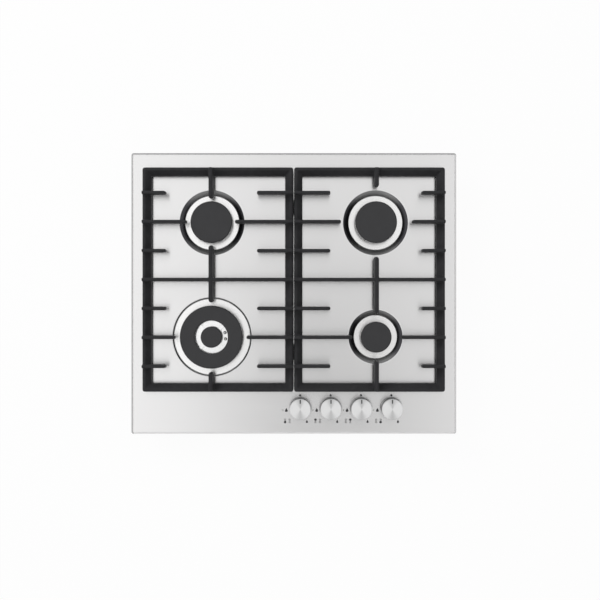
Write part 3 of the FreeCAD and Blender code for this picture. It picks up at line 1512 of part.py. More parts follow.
def make_inlet():
    """The threaded inlet through the tray's rear wall, and the lock nut inside."""
    to_rear = Rotation(Vector(1, 0, 0), -90)
    body = new_body("gas_inlet", "inlet_offset", TRAY_REAR, "manifold_level", to_rear)
    tail = "(-tray_gauge - inlet_tail)"
    revolve(
        body,
        "thread",
        [
            ("manifold_radius + fit", tail),
            ("inlet_thread", tail),
            ("inlet_thread", "inlet_hex_height + inlet_length"),
            ("inlet_bore", "inlet_hex_height + inlet_length"),
            ("inlet_bore", "-inlet_seat"),
            ("manifold_radius + fit", "-inlet_seat"),
        ],
    )
    collar = new_sketch(body, "XY", "collar")
    hexagon(collar, "inlet_hex")
    circle(collar, "inlet_thread - inlet_relief")
    pad(body, collar, "inlet_hex_height")
    inside = f"{TRAY_REAR} - tray_gauge"
    nut = new_body("inlet_lock_nut", "inlet_offset", inside, "manifold_level", to_rear)
    ring = new_sketch(nut, "XY", "ring")
    hexagon(ring, "inlet_hex")
    circle(ring, "inlet_thread + fit")
    pad(nut, ring, "inlet_nut_height", downward=True)


def pipe_route(index, burner):
    """The points of a supply pipe, from its tap's nipple to its cup's nipple."""
    start_x = size(tap_x(index))
    start_y = size(f"{TAP_REAR} + boss_reach + fit")
    reach = size(f"{burner.cup_outer} + boss_reach + fit")
    middle_x, middle_y = size(burner.x), size(burner.y)
    if burner.name == "front_left":
        turn_y = start_y + size("pipe_rise")
        plan = [(start_x, turn_y), (middle_x, turn_y), (middle_x, middle_y - reach)]
    elif burner.name == "rear_left":
        plan = [(start_x, middle_y), (middle_x + reach, middle_y)]
    elif burner.name == "rear_right":
        aside = start_x - size("slant_shift")
        plan = [
            (start_x, start_y + size("slant_start")),
            (aside, start_y + size("slant_end")),
            (aside, middle_y),
            (middle_x - reach, middle_y),
        ]
    else:
        plan = [
            (start_x, start_y + size("pipe_rise")),
            (middle_x, start_y + size("slant_end")),
            (middle_x, middle_y - reach),
        ]
    return [(start_x, start_y)] + plan


def make_pipes():
    level = size("pipe_level")
    radius = size("pipe_radius")
    bore = size("pipe_radius - pipe_wall")
    pipes = []
    for index, burner in enumerate(BURNERS):
        points = [(x, y, level) for x, y in pipe_route(index, burner)]
        pipes.append(tube(points, radius, size("pipe_bend"), bore))
    shaped("supply_pipes", pipes)


def make_pipe_nuts():
    """A union nut over each joint of a supply pipe, with the wide half over the nipple."""
    nut = new_body("pipe_nut", kept=False)
    body = new_sketch(nut, "XY", "body", level="-nut_height / 2")
    hexagon(body, "nut_hex")
    pad(nut, body, "nut_height")
    bore = new_sketch(nut, "XY", "bore", level="nut_height / 2")
    circle(bore, "pipe_radius + fit")
    pocket(nut, bore, "nut_height")
    wide = new_sketch(nut, "XY", "wide")
    circle(wide, "boss_radius + fit")
    pocket(nut, wide, "nut_height")
    placed = []
    for index, burner in enumerate(BURNERS):
        to_rear = Rotation(Vector(0, 0, 1), Vector(0, 1, 0))
        placed.append((nut, tap_x(index), f"{TAP_REAR} + boss_reach", "pipe_level", to_rear))
        heading = math.radians(burner.inlet)
        outward = Vector(math.cos(heading), math.sin(heading), 0)
        x, y = burner.at(f"({burner.cup_outer} + boss_reach)", burner.inlet)
        placed.append((nut, x, y, "pipe_level", Rotation(Vector(0, 0, 1), outward)))
    group("pipe_nuts", placed)


# ---------------------------------------------------------------- ignition and wiring


def make_electrics():
    module = new_body("ignition_module", y="module_line", z="tray_gauge")
    case = new_sketch(module, "XY", "case")
    rectangle(case, "-module_width / 2", "module_width / 2", "-module_depth / 2", "module_depth / 2")
    pad(module, case, "module_height")
    round_edges(module, "corners", "module_corner", is_upright)
    line = f"{TRAY_REAR} - tray_gauge - block_gap - block_depth / 2"
    block = new_body("terminal_block", "-gland_offset", line, "tray_gauge")
    case = new_sketch(block, "XY", "case")
    rectangle(case, "-block_width / 2", "block_width / 2", "-block_depth / 2", "block_depth / 2")
    pad(block, case, "block_height")
    ways = new_sketch(block, "XY", "ways", level="block_height")
    for step in (-1, 0, 1):
        circle(ways, "block_way", f"{step} * block_width / 3", "0")
    pocket(block, ways, "block_height / 2")
    to_rear = Rotation(Vector(1, 0, 0), -90)
    gland = new_body("cable_gland", "-gland_offset", TRAY_REAR, "gland_level", to_rear)
    revolve(
        gland,
        "grommet",
        [
            ("gland_bore", "-tray_gauge - gland_inner"),
            ("gland_flange", "-tray_gauge - gland_inner"),
            ("gland_flange", "-tray_gauge - fit"),
            ("gland_radius", "-tray_gauge - fit"),
            ("gland_radius", "fit"),
            ("gland_flange", "fit"),
            ("gland_flange", "gland_lip"),
            ("gland_radius - gland_taper", "gland_length"),
            ("gland_bore", "gland_length"),
        ],
    )


def make_leads():
    """Ignition leads to the module, sensor leads to the taps and the switch harness, each on a
    level of its own."""
    module_front = size("module_line - module_depth / 2")
    bottom = "(collar_height + terminal_length)"
    sparks, sensors = [], []
    for index, burner in enumerate(BURNERS):
        x, y = [size(f) for f in burner.electrode("spark")]
        level = size(f"tray_gauge + lead_floor + {index} * lead_pitch")
        top = size(f"{burner.electrode_seat()} - {bottom}")
        entry = (index - 1.5) * size("module_width") / 5
        approach = (entry, module_front - size("lead_run"), level)
        points = [(x, y, top), (x, y, level), approach, (entry, module_front, level)]
        sparks.append(tube(points, size("lead_radius"), size("lead_bend")))
        x, y = [size(f) for f in burner.electrode("probe")]
        level = size(f"tray_gauge + lead_floor + ({index} + 0.5) * lead_pitch")
        side = size(f"{tap_x(index)} + tap_width / 2 - sensor_inset")
        rear = size(TAP_REAR)
        height = size("tap_top - sensor_drop")
        points = [
            (x, y, top),
            (x, y, level),
            (side, rear + size("sensor_rise"), level),
            (side, rear + size("sensor_run"), height),
            (side, rear, height),
        ]
        sensors.append(tube(points, size("sensor_lead"), size("sensor_bend")))
    shaped("ignition_leads", sparks)
    shaped("sensor_leads", sensors)
    line = size("-knob_line + 3 * switch_length / 5")
    height = size("tap_top + rail_gauge + 3 * switch_height / 5")
    radius = size("lead_radius") / 2
    wires = []
    for index in range(len(BURNERS) - 1):
        start = size(f"{tap_x(index)} + switch_offset + switch_width")
        end = size(f"{tap_x(index + 1)} + switch_offset")
        wires.append(
            Part.makeCylinder(radius, end - start, Vector(start, line, height), Vector(1, 0, 0))
        )
    first = size(f"{tap_x(0)} + switch_offset + switch_width / 2")
    switch_rear = size("-knob_line + 4 * switch_length / 5")
    low = size("tray_gauge + lead_floor + 4 * lead_pitch")
    entry = size("harness_inset - module_width / 2")
    turn = switch_rear + size("harness_run")
    points = [
        (first, switch_rear, height),
        (first, turn, height),
        (first, turn, low),
        (entry, module_front - size("harness_approach"), low),
        (entry, module_front, low),
    ]
    wires.append(tube(points, radius, size("lead_bend")))
    shaped("switch_harness", wires)


# ---------------------------------------------------------------- the whole cooktop


make_plate()
make_tray()
make_seal()
make_clips()
make_brackets()
for cooking_place in BURNERS:
    make_cup(cooking_place)
    make_spreader(cooking_place)
    if cooking_place.wok:
        make_wok_caps(cooking_place)
    else:
        make_cap(cooking_place)
make_injectors()
make_burner_screws()
make_electrodes("spark_plugs", "spark", "plug_radius", "plug_tip")
make_electrodes("thermocouples", "probe", "probe_radius", "probe_tip")
make_pan_support("left", 0)
make_pan_support("right", 180)
make_rubber_feet("left")
make_rubber_feet("right")
for tap_index, cooking_place in enumerate(BURNERS):
    make_knob(tap_index, cooking_place)
    make_spindle(tap_index, cooking_place)
    make_thrust_ring(tap_index, cooking_place)
make_taps()
make_rail()
make_saddles()
make_switches()
make_spindle_seals()
make_manifold()
make_inlet()
make_pipes()
make_pipe_nuts()
make_electrics()
make_leads()
document.recompute()


def check_document():
    """Stops on a failed object, an unsound shape or a feature that added or cut nothing."""
    for thing in document.Objects:
        if "Invalid" in thing.State or "Error" in thing.State:
            raise RuntimeError(f"{thing.Label} failed: {thing.State}")
    for body in [thing for thing in document.Objects if thing.TypeId == "PartDesign::Body"]:
        volume = 0
        for feature in body.Group:
            if not feature.isDerivedFrom("PartDesign::Feature"):
                continue
            if abs(feature.Shape.Volume - volume) < 1e-3:
                raise RuntimeError(f"{feature.Label} changes nothing")
            volume = feature.Shape.Volume
    for part in PARTS:
        if part.Shape.isNull() or not part.Shape.isValid():
            raise RuntimeError(f"{part.Label} has no sound shape")


check_document()
os.makedirs("parts", exist_ok=True)
for part in PARTS:
    part.Shape.exportStep(f"parts/{part.Label}.step")
print(len(PARTS), "sub-parts")
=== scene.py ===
"""Looks of a four-burner gas cooktop, dressed over its CAD frame.

Metres, X to the right, Y to the rear, Z up.
"""

import json
import math

import bmesh
import bpy
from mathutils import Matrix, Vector


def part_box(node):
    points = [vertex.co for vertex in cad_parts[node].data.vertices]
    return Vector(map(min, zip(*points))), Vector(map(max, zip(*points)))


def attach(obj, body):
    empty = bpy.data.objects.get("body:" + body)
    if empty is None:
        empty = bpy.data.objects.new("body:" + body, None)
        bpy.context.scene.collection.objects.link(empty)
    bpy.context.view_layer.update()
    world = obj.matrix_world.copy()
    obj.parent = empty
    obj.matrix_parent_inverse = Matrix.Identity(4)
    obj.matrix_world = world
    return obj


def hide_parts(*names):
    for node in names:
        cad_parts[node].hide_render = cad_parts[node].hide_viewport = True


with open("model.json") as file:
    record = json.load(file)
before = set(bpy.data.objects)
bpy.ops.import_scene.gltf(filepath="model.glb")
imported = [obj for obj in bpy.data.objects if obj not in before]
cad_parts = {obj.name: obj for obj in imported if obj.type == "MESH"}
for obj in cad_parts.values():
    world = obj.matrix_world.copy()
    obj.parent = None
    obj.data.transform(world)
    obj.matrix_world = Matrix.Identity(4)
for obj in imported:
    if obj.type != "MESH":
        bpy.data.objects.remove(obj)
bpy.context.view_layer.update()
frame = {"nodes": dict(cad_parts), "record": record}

MM = 0.001
BURNERS = ("front_left", "rear_left", "rear_right", "front_right")
WOK = "front_left"
SIDES = ("left", "right")


def middle(node):
    low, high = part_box(node)
    return (low + high) / 2


def half_width(node):
    low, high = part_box(node)
    return (high.x - low.x) / 2


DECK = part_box("top_plate")[1].z
CAPS = {name: "wok_ring_cap" if name == WOK else f"burner_cap_{name}" for name in BURNERS}
CENTRES = {name: middle(CAPS[name]) for name in BURNERS}
KNOBS = {name: middle(f"knob_{name}") for name in BURNERS}

# ---------------------------------------------------------------- camera

PHOTO_SIDE = 600  # pixels
PHOTO_MIDDLE = PHOTO_SIDE / 2
PLATE_AT = (293.8, 293.45)  # pixel of the plate's middle
PIXEL = 1.812 * MM  # one pixel on the plate
VIEW_HEIGHT = 2.0  # lens above the plate
SENSOR = 36.0  # millimetres, as for the lens
VIEW_END = 20  # nothing farther off shows


def make_camera():
    """Straight down, a little right of the plate's middle and in front of it."""
    data = bpy.data.cameras.new("camera")
    data.sensor_width = SENSOR
    data.lens = SENSOR * VIEW_HEIGHT / (PHOTO_SIDE * PIXEL)
    data.clip_end = VIEW_END
    camera = bpy.data.objects.new("camera", data)
    camera.location = (
        (PHOTO_MIDDLE - PLATE_AT[0]) * PIXEL,
        (PLATE_AT[1] - PHOTO_MIDDLE) * PIXEL,
        DECK + VIEW_HEIGHT,
    )
    bpy.context.scene.collection.objects.link(camera)
    bpy.context.scene.camera = camera


# ---------------------------------------------------------------- shader nodes


class Nodes:
    """Short calls for one tree. A value is a number, a tuple or the output of another node."""

    def __init__(self, tree):
        self.tree = tree

    def node(self, kind, settings=None, **inputs):
        """A new node, its inputs given by name, or by place as _0, _1 and so on."""
        made = self.tree.nodes.new(kind)
        for key, value in (settings or {}).items():
            setattr(made, key, value)
        for key, value in inputs.items():
            self.feed(made.inputs[int(key[1:]) if key[0] == "_" else key], value)
        return made

    def feed(self, socket, value):
        if isinstance(value, bpy.types.NodeSocket):
            self.tree.links.new(value, socket)
        else:
            socket.default_value = value

    def math(self, operation, first, second=0.0):
        """Arithmetic on numbers; an operation on one number ignores the second."""
        return self.node("ShaderNodeMath", {"operation": operation}, _0=first, _1=second).outputs[0]

    def largest(self, values):
        found, *others = values
        for value in others:
            found = self.math("MAXIMUM", found, value)
        return found

    def vector(self, operation, first, second=(0, 0, 0)):
        """Arithmetic on vectors; an operation on one vector ignores the second."""
        made = self.node("ShaderNodeVectorMath", {"operation": operation}, _0=first, _1=second)
        return made.outputs["Value" if operation == "LENGTH" else "Vector"]

    def split(self, vector):
        """A vector's x, y and z."""
        return self.node("ShaderNodeSeparateXYZ", _0=vector).outputs

    def ramp(self, value, low, high, to_low=0.0, to_high=1.0, form="SMOOTHSTEP"):
        """From to_low where the value is low to to_high where it is high, and level past them."""
        made = self.node(
            "ShaderNodeMapRange",
            {"interpolation_type": form},
            Value=value,
            **{"From Min": low, "From Max": high, "To Min": to_low, "To Max": to_high},
        )
        return made.outputs["Result"]

    def blend(self, share, first, second):
        """A number from first to second, as a 0..1 share says."""
        return self.node("ShaderNodeMix", _0=share, _2=first, _3=second).outputs[0]

    def mix(self, share, first, second):
        """A colour from first to second, as a 0..1 share says."""
        made = self.node("ShaderNodeMix", {"data_type": "RGBA"}, _0=share)
        for socket, value in ((made.inputs[6], first), (made.inputs[7], second)):
            self.feed(socket, (*value, 1) if isinstance(value, tuple) else value)
        return made.outputs[2]

    def seen_or_mirrored(self):
        """1 where a ray comes from the camera, a glossy surface or glass, else 0."""
        rays = self.node("ShaderNodeLightPath").outputs
        return self.largest([rays[f"Is {kind} Ray"] for kind in ("Camera", "Glossy", "Transmission")])


STEEP, FLAT = 0.35, 0.8  # upward part of a normal, below and above which a surface is upright or flat
NOISE_LOW, NOISE_HIGH = 0.3, 0.7  # most of a noise lies between these


class Shader(Nodes):
    """A Principled material and the nodes that feed it."""

    def __init__(self, name, color, roughness, metallic=0.0, fixed=None):
        self.material = bpy.data.materials.new(name)
        self.material.use_nodes = True
        super().__init__(self.material.node_tree)
        self.surface = self.tree.nodes["Principled BSDF"]
        self.color = color
        plain = {"Base Color": (*color, 1), "Roughness": roughness, "Metallic": metallic}
        for socket, value in {**plain, **(fixed or {})}.items():
            self.surface.inputs[socket].default_value = value
        self.place = self.node("ShaderNodeTexCoord").outputs["Object"]

    def set_color(self, value):
        self.feed(self.surface.inputs["Base Color"], value)

    def set_roughness(self, value):
        self.feed(self.surface.inputs["Roughness"], value)

    def vary_roughness(self, noise, low, high):
        self.set_roughness(self.ramp(noise, NOISE_LOW, NOISE_HIGH, low, high))

    def set_tangent(self, value):
        """The way that a brushed or turned surface spreads its shine."""
        self.feed(self.surface.inputs["Tangent"], value)

    def noise(self, size, detail=3.0, stretch=(1, 1, 1)):
        """Noise whose blotches are about size metres across, stretched per axis."""
        scaled = self.vector("DIVIDE", self.place, stretch)
        return self.node("ShaderNodeTexNoise", Vector=scaled, Scale=1 / size, Detail=detail).outputs[0]

    def cells(self, size):
        """Patches about size metres across, each of its own level."""
        made = self.node("ShaderNodeTexVoronoi", Vector=self.place, Scale=1 / size)
        return made.outputs["Color"]

    def shade(self, value, low, high):
        """The colour from low to high times itself, as a 0..1 value says."""
        dark, bright = (tuple(channel * part for channel in self.color) for part in (low, high))
        return self.mix(value, dark, bright)

    def upright(self):
        """1 where the surface stands upright and 0 where it lies flat."""
        normal = self.node("ShaderNodeTexCoord").outputs["Normal"]
        return self.ramp(self.math("ABSOLUTE", self.split(normal)[2]), STEEP, FLAT, 1, 0)

    def rounded(self, radius):
        """The surface's normal, with edges rounded by a radius."""
        return self.node("ShaderNodeBevel", {"samples": 4}, Radius=radius).outputs[0]

    def bump(self, *layers, edge):
        """Heights in metres, each (value, depth), summed, with edges rounded by the edge radius."""
        normal = self.rounded(edge)
        for value, depth in layers:
            normal = self.node("ShaderNodeBump", Height=value, Distance=depth, Normal=normal).outputs[0]
        self.feed(self.surface.inputs["Normal"], normal)


# ---------------------------------------------------------------- top plate

STEEL = (0.785, 0.78, 0.78)
WELL_FLOOR = (0.93, 0.925, 0.92)
# painted reflection: the wells' walls are darkened as if mirroring the dark caps and supports, with a
# painted sheen where they face forward or back
WELL_WALL_REFLECTION_DARK, WELL_WALL_REFLECTION_SHEEN = (0.06, 0.06, 0.065), (0.24, 0.24, 0.24)
# painted shade: the rolled edge is darker along the left and rear, less on the right
RIM_SHADE, RIM_SHARE = (0.2, 0.2, 0.205), 0.8

BRUSH_LENGTH, FINE_BRUSH_LENGTH, CLOUD_LENGTH = 260, 120, 2  # of a blotch, in times its width
GRAIN_SHARE = 0.35  # of the steel's slight change of tone, the rest in clouds

EDGE_ROUND = 2.8 * MM  # the plate's rolled edges
RIM_REACH = 4 * MM  # from the plate's outline inward, where its edge rolls down
RIM_TURNED, RIM_LEVEL = 0.75, 0.99  # upward part of the normal on the roll and past it
RIGHT_SHARE = 0.5  # how dark the right edge is beside the left one
WELL_LAND, WELL_SLOPE = 11.3 * MM, 10 * MM  # a well's floor past its cap, and its wall past that
WOK_LAND, WOK_SLOPE = 12.6 * MM, 2.3 * MM
WELL_BLUR = 0.3 * MM
REFLECTION_SHEEN_FROM, REFLECTION_SHEEN_FULL = 0.5, 0.97  # forward or rearward part of the way out from a well's middle


def rim_shadow(steel):
    """Share of painted shade: 1 where the rolled edge turns to the left or the rear, less on the right,
    0 in front.
    """
    low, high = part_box("top_plate")
    x, y, _ = steel.split(steel.place)
    left = steel.ramp(x, low.x + RIM_REACH, low.x + RIM_REACH + MM, 1, 0)
    rear = steel.ramp(y, high.y - RIM_REACH - MM, high.y - RIM_REACH)
    right = steel.ramp(x, high.x - RIM_REACH - MM, high.x - RIM_REACH)
    near = steel.largest((left, rear, steel.math("MULTIPLY", right, RIGHT_SHARE)))
    turned = steel.ramp(steel.split(steel.rounded(EDGE_ROUND))[2], RIM_TURNED, RIM_LEVEL, 1, 0)
    return steel.math("MULTIPLY", near, turned)


def well_shares(steel):
    """1 on the wells' floors, on their walls, which get painted reflection, and where a wall faces
    forward or back, which gets a painted sheen.
    """
    flat = steel.vector("MULTIPLY", steel.place, (1, 1, 0))
    floors, walls, reflection_sheens = [], [], []
    for name in BURNERS:
        land, slope = (WOK_LAND, WOK_SLOPE) if name == WOK else (WELL_LAND, WELL_SLOPE)
        inner = half_width(CAPS[name]) + land
        outer = inner + slope
        aside = steel.vector("SUBTRACT", flat, (CENTRES[name].x, CENTRES[name].y, 0))
        away = steel.vector("LENGTH", aside)
        past_floor = steel.ramp(away, inner - WELL_BLUR, inner + WELL_BLUR)
        before_deck = steel.ramp(away, outer - WELL_BLUR, outer + WELL_BLUR, 1, 0)
        wall = steel.math("MULTIPLY", past_floor, before_deck)
        forward = steel.math("ABSOLUTE", steel.split(steel.vector("NORMALIZE", aside))[1])
        floors.append(steel.ramp(away, inner - WELL_BLUR, inner + WELL_BLUR, 1, 0))
        walls.append(wall)
        reflection_sheens.append(steel.math("MULTIPLY", wall, steel.ramp(forward, REFLECTION_SHEEN_FROM, REFLECTION_SHEEN_FULL)))
    return [steel.largest(shares) for shares in (floors, walls, reflection_sheens)]


def brushed_plate():
    """Stainless sheet brushed left to right, with pale wells in dark walls; the walls' darkness is
    painted reflection, with a painted sheen towards front and rear.
    """
    steel = Shader("brushed_plate", STEEL, 0.22, 1.0, {"Anisotropic": 0.7})
    grain = steel.noise(0.7 * MM, 2, (BRUSH_LENGTH, 1, 1))
    fine = steel.noise(0.3 * MM, 2, (FINE_BRUSH_LENGTH, 1, 1))
    cloud = steel.noise(120 * MM, 2, (CLOUD_LENGTH, 1, 1))
    tone = steel.blend(GRAIN_SHARE, cloud, grain)
    floor, wall, reflection_sheen = well_shares(steel)
    color = steel.mix(floor, steel.shade(tone, 0.98, 1.02), WELL_FLOOR)
    # painted reflection darkens the wells' walls, and a painted sheen lightens them towards front and
    # rear
    color = steel.mix(wall, color, steel.mix(reflection_sheen, WELL_WALL_REFLECTION_DARK, WELL_WALL_REFLECTION_SHEEN))
    # painted shade along the left and rear rims
    shadow = steel.math("MULTIPLY", rim_shadow(steel), RIM_SHARE)
    steel.set_color(steel.mix(shadow, color, RIM_SHADE))
    steel.vary_roughness(grain, 0.215, 0.245)
    steel.set_tangent(steel.node("ShaderNodeCombineXYZ", Y=1.0).outputs[0])
    steel.bump((fine, 0.0005 * MM), edge=EDGE_ROUND)
    return steel.material


# ---------------------------------------------------------------- knobs

# painted highlight: the tops are lighter in two fans to the left and right, and dimmer to the front and
# rear
TOP_BETWEEN_HIGHLIGHTS, TOP_HIGHLIGHT_FANS = (0.62, 0.62, 0.62), (0.84, 0.84, 0.84)
TOP_RINGS, RING_SHARE = (0.6, 0.6, 0.6), 0.12
RING_COUNT = 160.0  # rings across a knob's width
# painted reflection: the knobs' walls are darkened as if mirroring the dark pan supports behind them
KNOB_WALL_REFLECTION_LOW, KNOB_WALL_REFLECTION_HIGH = (0.27, 0.27, 0.275), (0.38, 0.38, 0.385)
WALL_ROUGHNESS = 0.5


def turned_aluminium():
    """Turned knobs: their tops carry a painted highlight in two fans, left and right, and their walls
    are darker by painted reflection.
    """
    alloy = Shader("turned_aluminium", (0.88, 0.88, 0.88), 0.42, 1.0, {"Anisotropic": 0.9})
    box = alloy.node("ShaderNodeTexCoord").outputs["Generated"]
    outward = alloy.vector("MULTIPLY", alloy.vector("SUBTRACT", box, (0.5, 0.5, 0.5)), (1, 1, 0))
    spaces = {"vector_type": "VECTOR", "convert_from": "OBJECT", "convert_to": "WORLD"}
    alloy.set_tangent(alloy.node("ShaderNodeVectorTransform", spaces, _0=outward).outputs[0])
    away = alloy.vector("LENGTH", outward)
    line = {"noise_dimensions": "1D"}
    rings = alloy.node("ShaderNodeTexNoise", line, W=away, Scale=RING_COUNT, Detail=2.0).outputs[0]
    sideways = alloy.math("ABSOLUTE", alloy.split(alloy.vector("NORMALIZE", outward))[0])
    # painted highlight in two fans across the top
    top = alloy.mix(alloy.ramp(sideways, 0.0, 0.75), TOP_BETWEEN_HIGHLIGHTS, TOP_HIGHLIGHT_FANS)
    top = alloy.mix(alloy.math("MULTIPLY", rings, RING_SHARE), top, TOP_RINGS)
    # painted reflection darkens the walls; the noise is a random change of tone
    wall = alloy.mix(alloy.noise(0.5 * MM, 3), KNOB_WALL_REFLECTION_LOW, KNOB_WALL_REFLECTION_HIGH)
    upright = alloy.upright()
    alloy.set_color(alloy.mix(upright, top, wall))
    smooth = alloy.ramp(rings, NOISE_LOW, NOISE_HIGH, 0.38, 0.46)
    rough = alloy.math("MULTIPLY", upright, WALL_ROUGHNESS)
    alloy.set_roughness(alloy.math("MAXIMUM", smooth, rough))
    alloy.bump((rings, 0.01 * MM), edge=0.3 * MM)
    return alloy.material


# ---------------------------------------------------------------- other materials


def zinc_sheet():
    """Galvanised sheet with its spangle."""
    zinc = Shader("zinc_sheet", (0.6, 0.61, 0.62), 0.42, 0.9)
    zinc.set_color(zinc.shade(zinc.cells(6 * MM), 0.86, 1.08))
    zinc.vary_roughness(zinc.noise(20 * MM), 0.36, 0.5)
    zinc.bump((zinc.noise(1 * MM), 0.01 * MM), edge=0.3 * MM)
    return zinc.material


def cast_iron():
    """Black matt enamel over a cast surface."""
    iron = Shader("cast_iron", (0.034, 0.034, 0.036), 0.55, 0.0, {"Specular IOR Level": 0.1})
    grit = iron.noise(1.2 * MM, 4)
    swell = iron.noise(8 * MM, 2)
    iron.set_color(iron.shade(swell, 0.75, 1.3))
    iron.set_roughness(iron.ramp(grit, 0.35, 0.65, 0.48, 0.64))
    iron.bump((grit, 0.12 * MM), (swell, 0.25 * MM), edge=1.1 * MM)
    return iron.material


def black_enamel():
    """Satin enamel with the slight orange peel of a fired coat."""
    enamel = Shader("black_enamel", (0.027, 0.027, 0.029), 0.42, 0.0, {"Specular IOR Level": 0.4})
    peel = enamel.noise(2 * MM)
    enamel.set_color(enamel.shade(enamel.noise(15 * MM), 0.85, 1.15))
    enamel.vary_roughness(peel, 0.36, 0.46)
    enamel.bump((peel, 0.03 * MM), edge=0.6 * MM)
    return enamel.material


def cast_aluminium():
    """Tumbled die casting."""
    alloy = Shader("cast_aluminium", (0.95, 0.95, 0.95), 0.16, 1.0)
    grit = alloy.noise(0.9 * MM, 4)
    alloy.set_color(alloy.shade(alloy.noise(10 * MM), 0.96, 1.03))
    alloy.vary_roughness(grit, 0.12, 0.22)
    alloy.bump((grit, 0.012 * MM), edge=0.3 * MM)
    return alloy.material


def metal(name, color, roughness):
    """Machined or drawn metal with a faint grain."""
    made = Shader(name, color, roughness, 1.0)
    grit = made.noise(1.5 * MM)
    made.set_color(made.shade(made.noise(15 * MM), 0.9, 1.06))
    made.vary_roughness(grit, 0.85 * roughness, 1.2 * roughness)
    made.bump((grit, 0.01 * MM), edge=0.2 * MM)
    return made.material


def moulded(name, color, roughness, depth=0.03 * MM):
    """Moulded plastic, rubber or ceramic with a fine skin of this depth."""
    made = Shader(name, color, roughness)
    grit = made.noise(0.8 * MM)
    made.set_color(made.shade(made.noise(10 * MM), 0.9, 1.1))
    made.vary_roughness(grit, 0.85 * roughness, min(1, 1.15 * roughness))
    made.bump((grit, depth), edge=0.4 * MM)
    return made.material


MATERIALS = {
    "brushed_plate": brushed_plate(),
    "zinc_steel": zinc_sheet(),
    "cast_iron": cast_iron(),
    "black_enamel": black_enamel(),
    "cast_aluminium": cast_aluminium(),
    "turned_aluminium": turned_aluminium(),
    "brass": metal("brass", (0.72, 0.56, 0.3), 0.28),
    "plated_steel": metal("plated_steel", (0.66, 0.66, 0.68), 0.25),
    "pipe_aluminium": metal("pipe_aluminium", (0.75, 0.76, 0.77), 0.35),
    "black_rubber": moulded("black_rubber", (0.03, 0.03, 0.03), 0.8),
    "foam": moulded("foam", (0.06, 0.06, 0.06), 0.95, 0.2 * MM),
    "black_plastic": moulded("black_plastic", (0.04, 0.04, 0.042), 0.45),
    "pale_plastic": moulded("pale_plastic", (0.75, 0.74, 0.7), 0.4),
    "ceramic": moulded("ceramic", (0.88, 0.87, 0.84), 0.2, 0.01 * MM),
    "lead_sheath": moulded("lead_sheath", (0.7, 0.69, 0.65), 0.5),
}


def dress_frame():
    """Each CAD node takes its slot's material."""
    for row in frame["record"]["subparts"]:
        node = frame["nodes"][row["node"]]
        node.data.materials.clear()
        node.data.materials.append(MATERIALS[row["material_slot"]])


# ---------------------------------------------------------------- flat shapes


def around(x, y, radii, turns):
    """Points round a middle, at a radius for each turn."""
    return [(x + r * math.cos(turn), y + r * math.sin(turn)) for r, turn in zip(radii, turns)]


def arc(x, y, radius, start, end, count=9):
    turns = [start + (end - start) * i / (count - 1) for i in range(count)]
    return around(x, y, [radius] * count, turns)


def circle(x, y, radius, count=24):
    return around(x, y, [radius] * count, [2 * math.pi * i / count for i in range(count)])


def star(x, y, reach, notch, rays=8):
    """Pointed rays, with notches between them."""
    return around(x, y, [reach, notch] * rays, [math.pi * i / rays for i in range(2 * rays)])


def flame(x, y, width, height, count=28):
    """A drop with its point to the rear."""
    widest = 3 * math.sqrt(3) / 8  # the largest that sin(t) * sin(t / 2) ** 2 gets
    outline = []
    for i in range(count):
        turn = 2 * math.pi * i / count
        aside = -math.sin(turn) * math.sin(turn / 2) ** 2 / widest
        outline.append((x + width / 2 * aside, y + height / 2 * math.cos(turn)))
    return outline


def add_slab(shape, base, top, outline, hole=None):
    """A flat slab from base to top; a hole has as many points as the outline."""

    def ring(points, level):
        return [shape.verts.new((x, y, level)) for x, y in points]

    low, high = ring(outline, base), ring(outline, top)
    sides = [(i, (i + 1) % len(outline)) for i in range(len(outline))]
    for i, j in sides:
        shape.faces.new((low[i], low[j], high[j], high[i]))
    if hole is None:
        shape.faces.new(high)
        shape.faces.new(low[::-1])
        return
    hole_low, hole_high = ring(hole, base), ring(hole, top)
    for i, j in sides:
        shape.faces.new((hole_high[i], hole_high[j], hole_low[j], hole_low[i]))
        shape.faces.new((high[i], high[j], hole_high[j], hole_high[i]))
        shape.faces.new((low[j], low[i], hole_low[i], hole_low[j]))


def to_mesh(shape, name):
    mesh = bpy.data.meshes.new(name)
    shape.to_mesh(mesh)
    shape.free()
    return mesh


# ---------------------------------------------------------------- pieces of the scene


def make_piece(name, mesh, body, slot, *replaced):
    """A piece that rides on a body, in its slot's material, in place of the replaced nodes."""
    piece = bpy.data.objects.new(name, mesh)
    bpy.context.scene.collection.objects.link(piece)
    mesh.materials.append(MATERIALS[slot])
    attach(piece, body)
    if replaced:
        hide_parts(*replaced)
    return piece


PRINT_BASE, PRINT_TOP = DECK - 0.05 * MM, DECK + 0.08 * MM
# each mark's place from its knob's middle, to the right and to the rear, and its size
DOT_AT, DOT_RADIUS = (0, 22.9 * MM), 1.9 * MM
LARGE_FLAME_AT, LARGE_FLAME = (-25.2 * MM, -3.4 * MM), (5.2 * MM, 7.4 * MM)
SMALL_FLAME_AT, SMALL_FLAME = (12.0 * MM, -24.0 * MM), (3.9 * MM, 6.4 * MM)
SPARK_AT, SPARK_REACH, SPARK_NOTCH = (-31.8 * MM, -3.8 * MM), 1.9 * MM, 0.45 * MM
MAP_AT, MAP_STEP = (-23.4 * MM, -23.4 * MM), (4.1 * MM, 2.2 * MM)
OWN_SPOT, OTHER_SPOT, OTHER_HOLE = 2.3 * MM, 1.8 * MM, 1.0 * MM


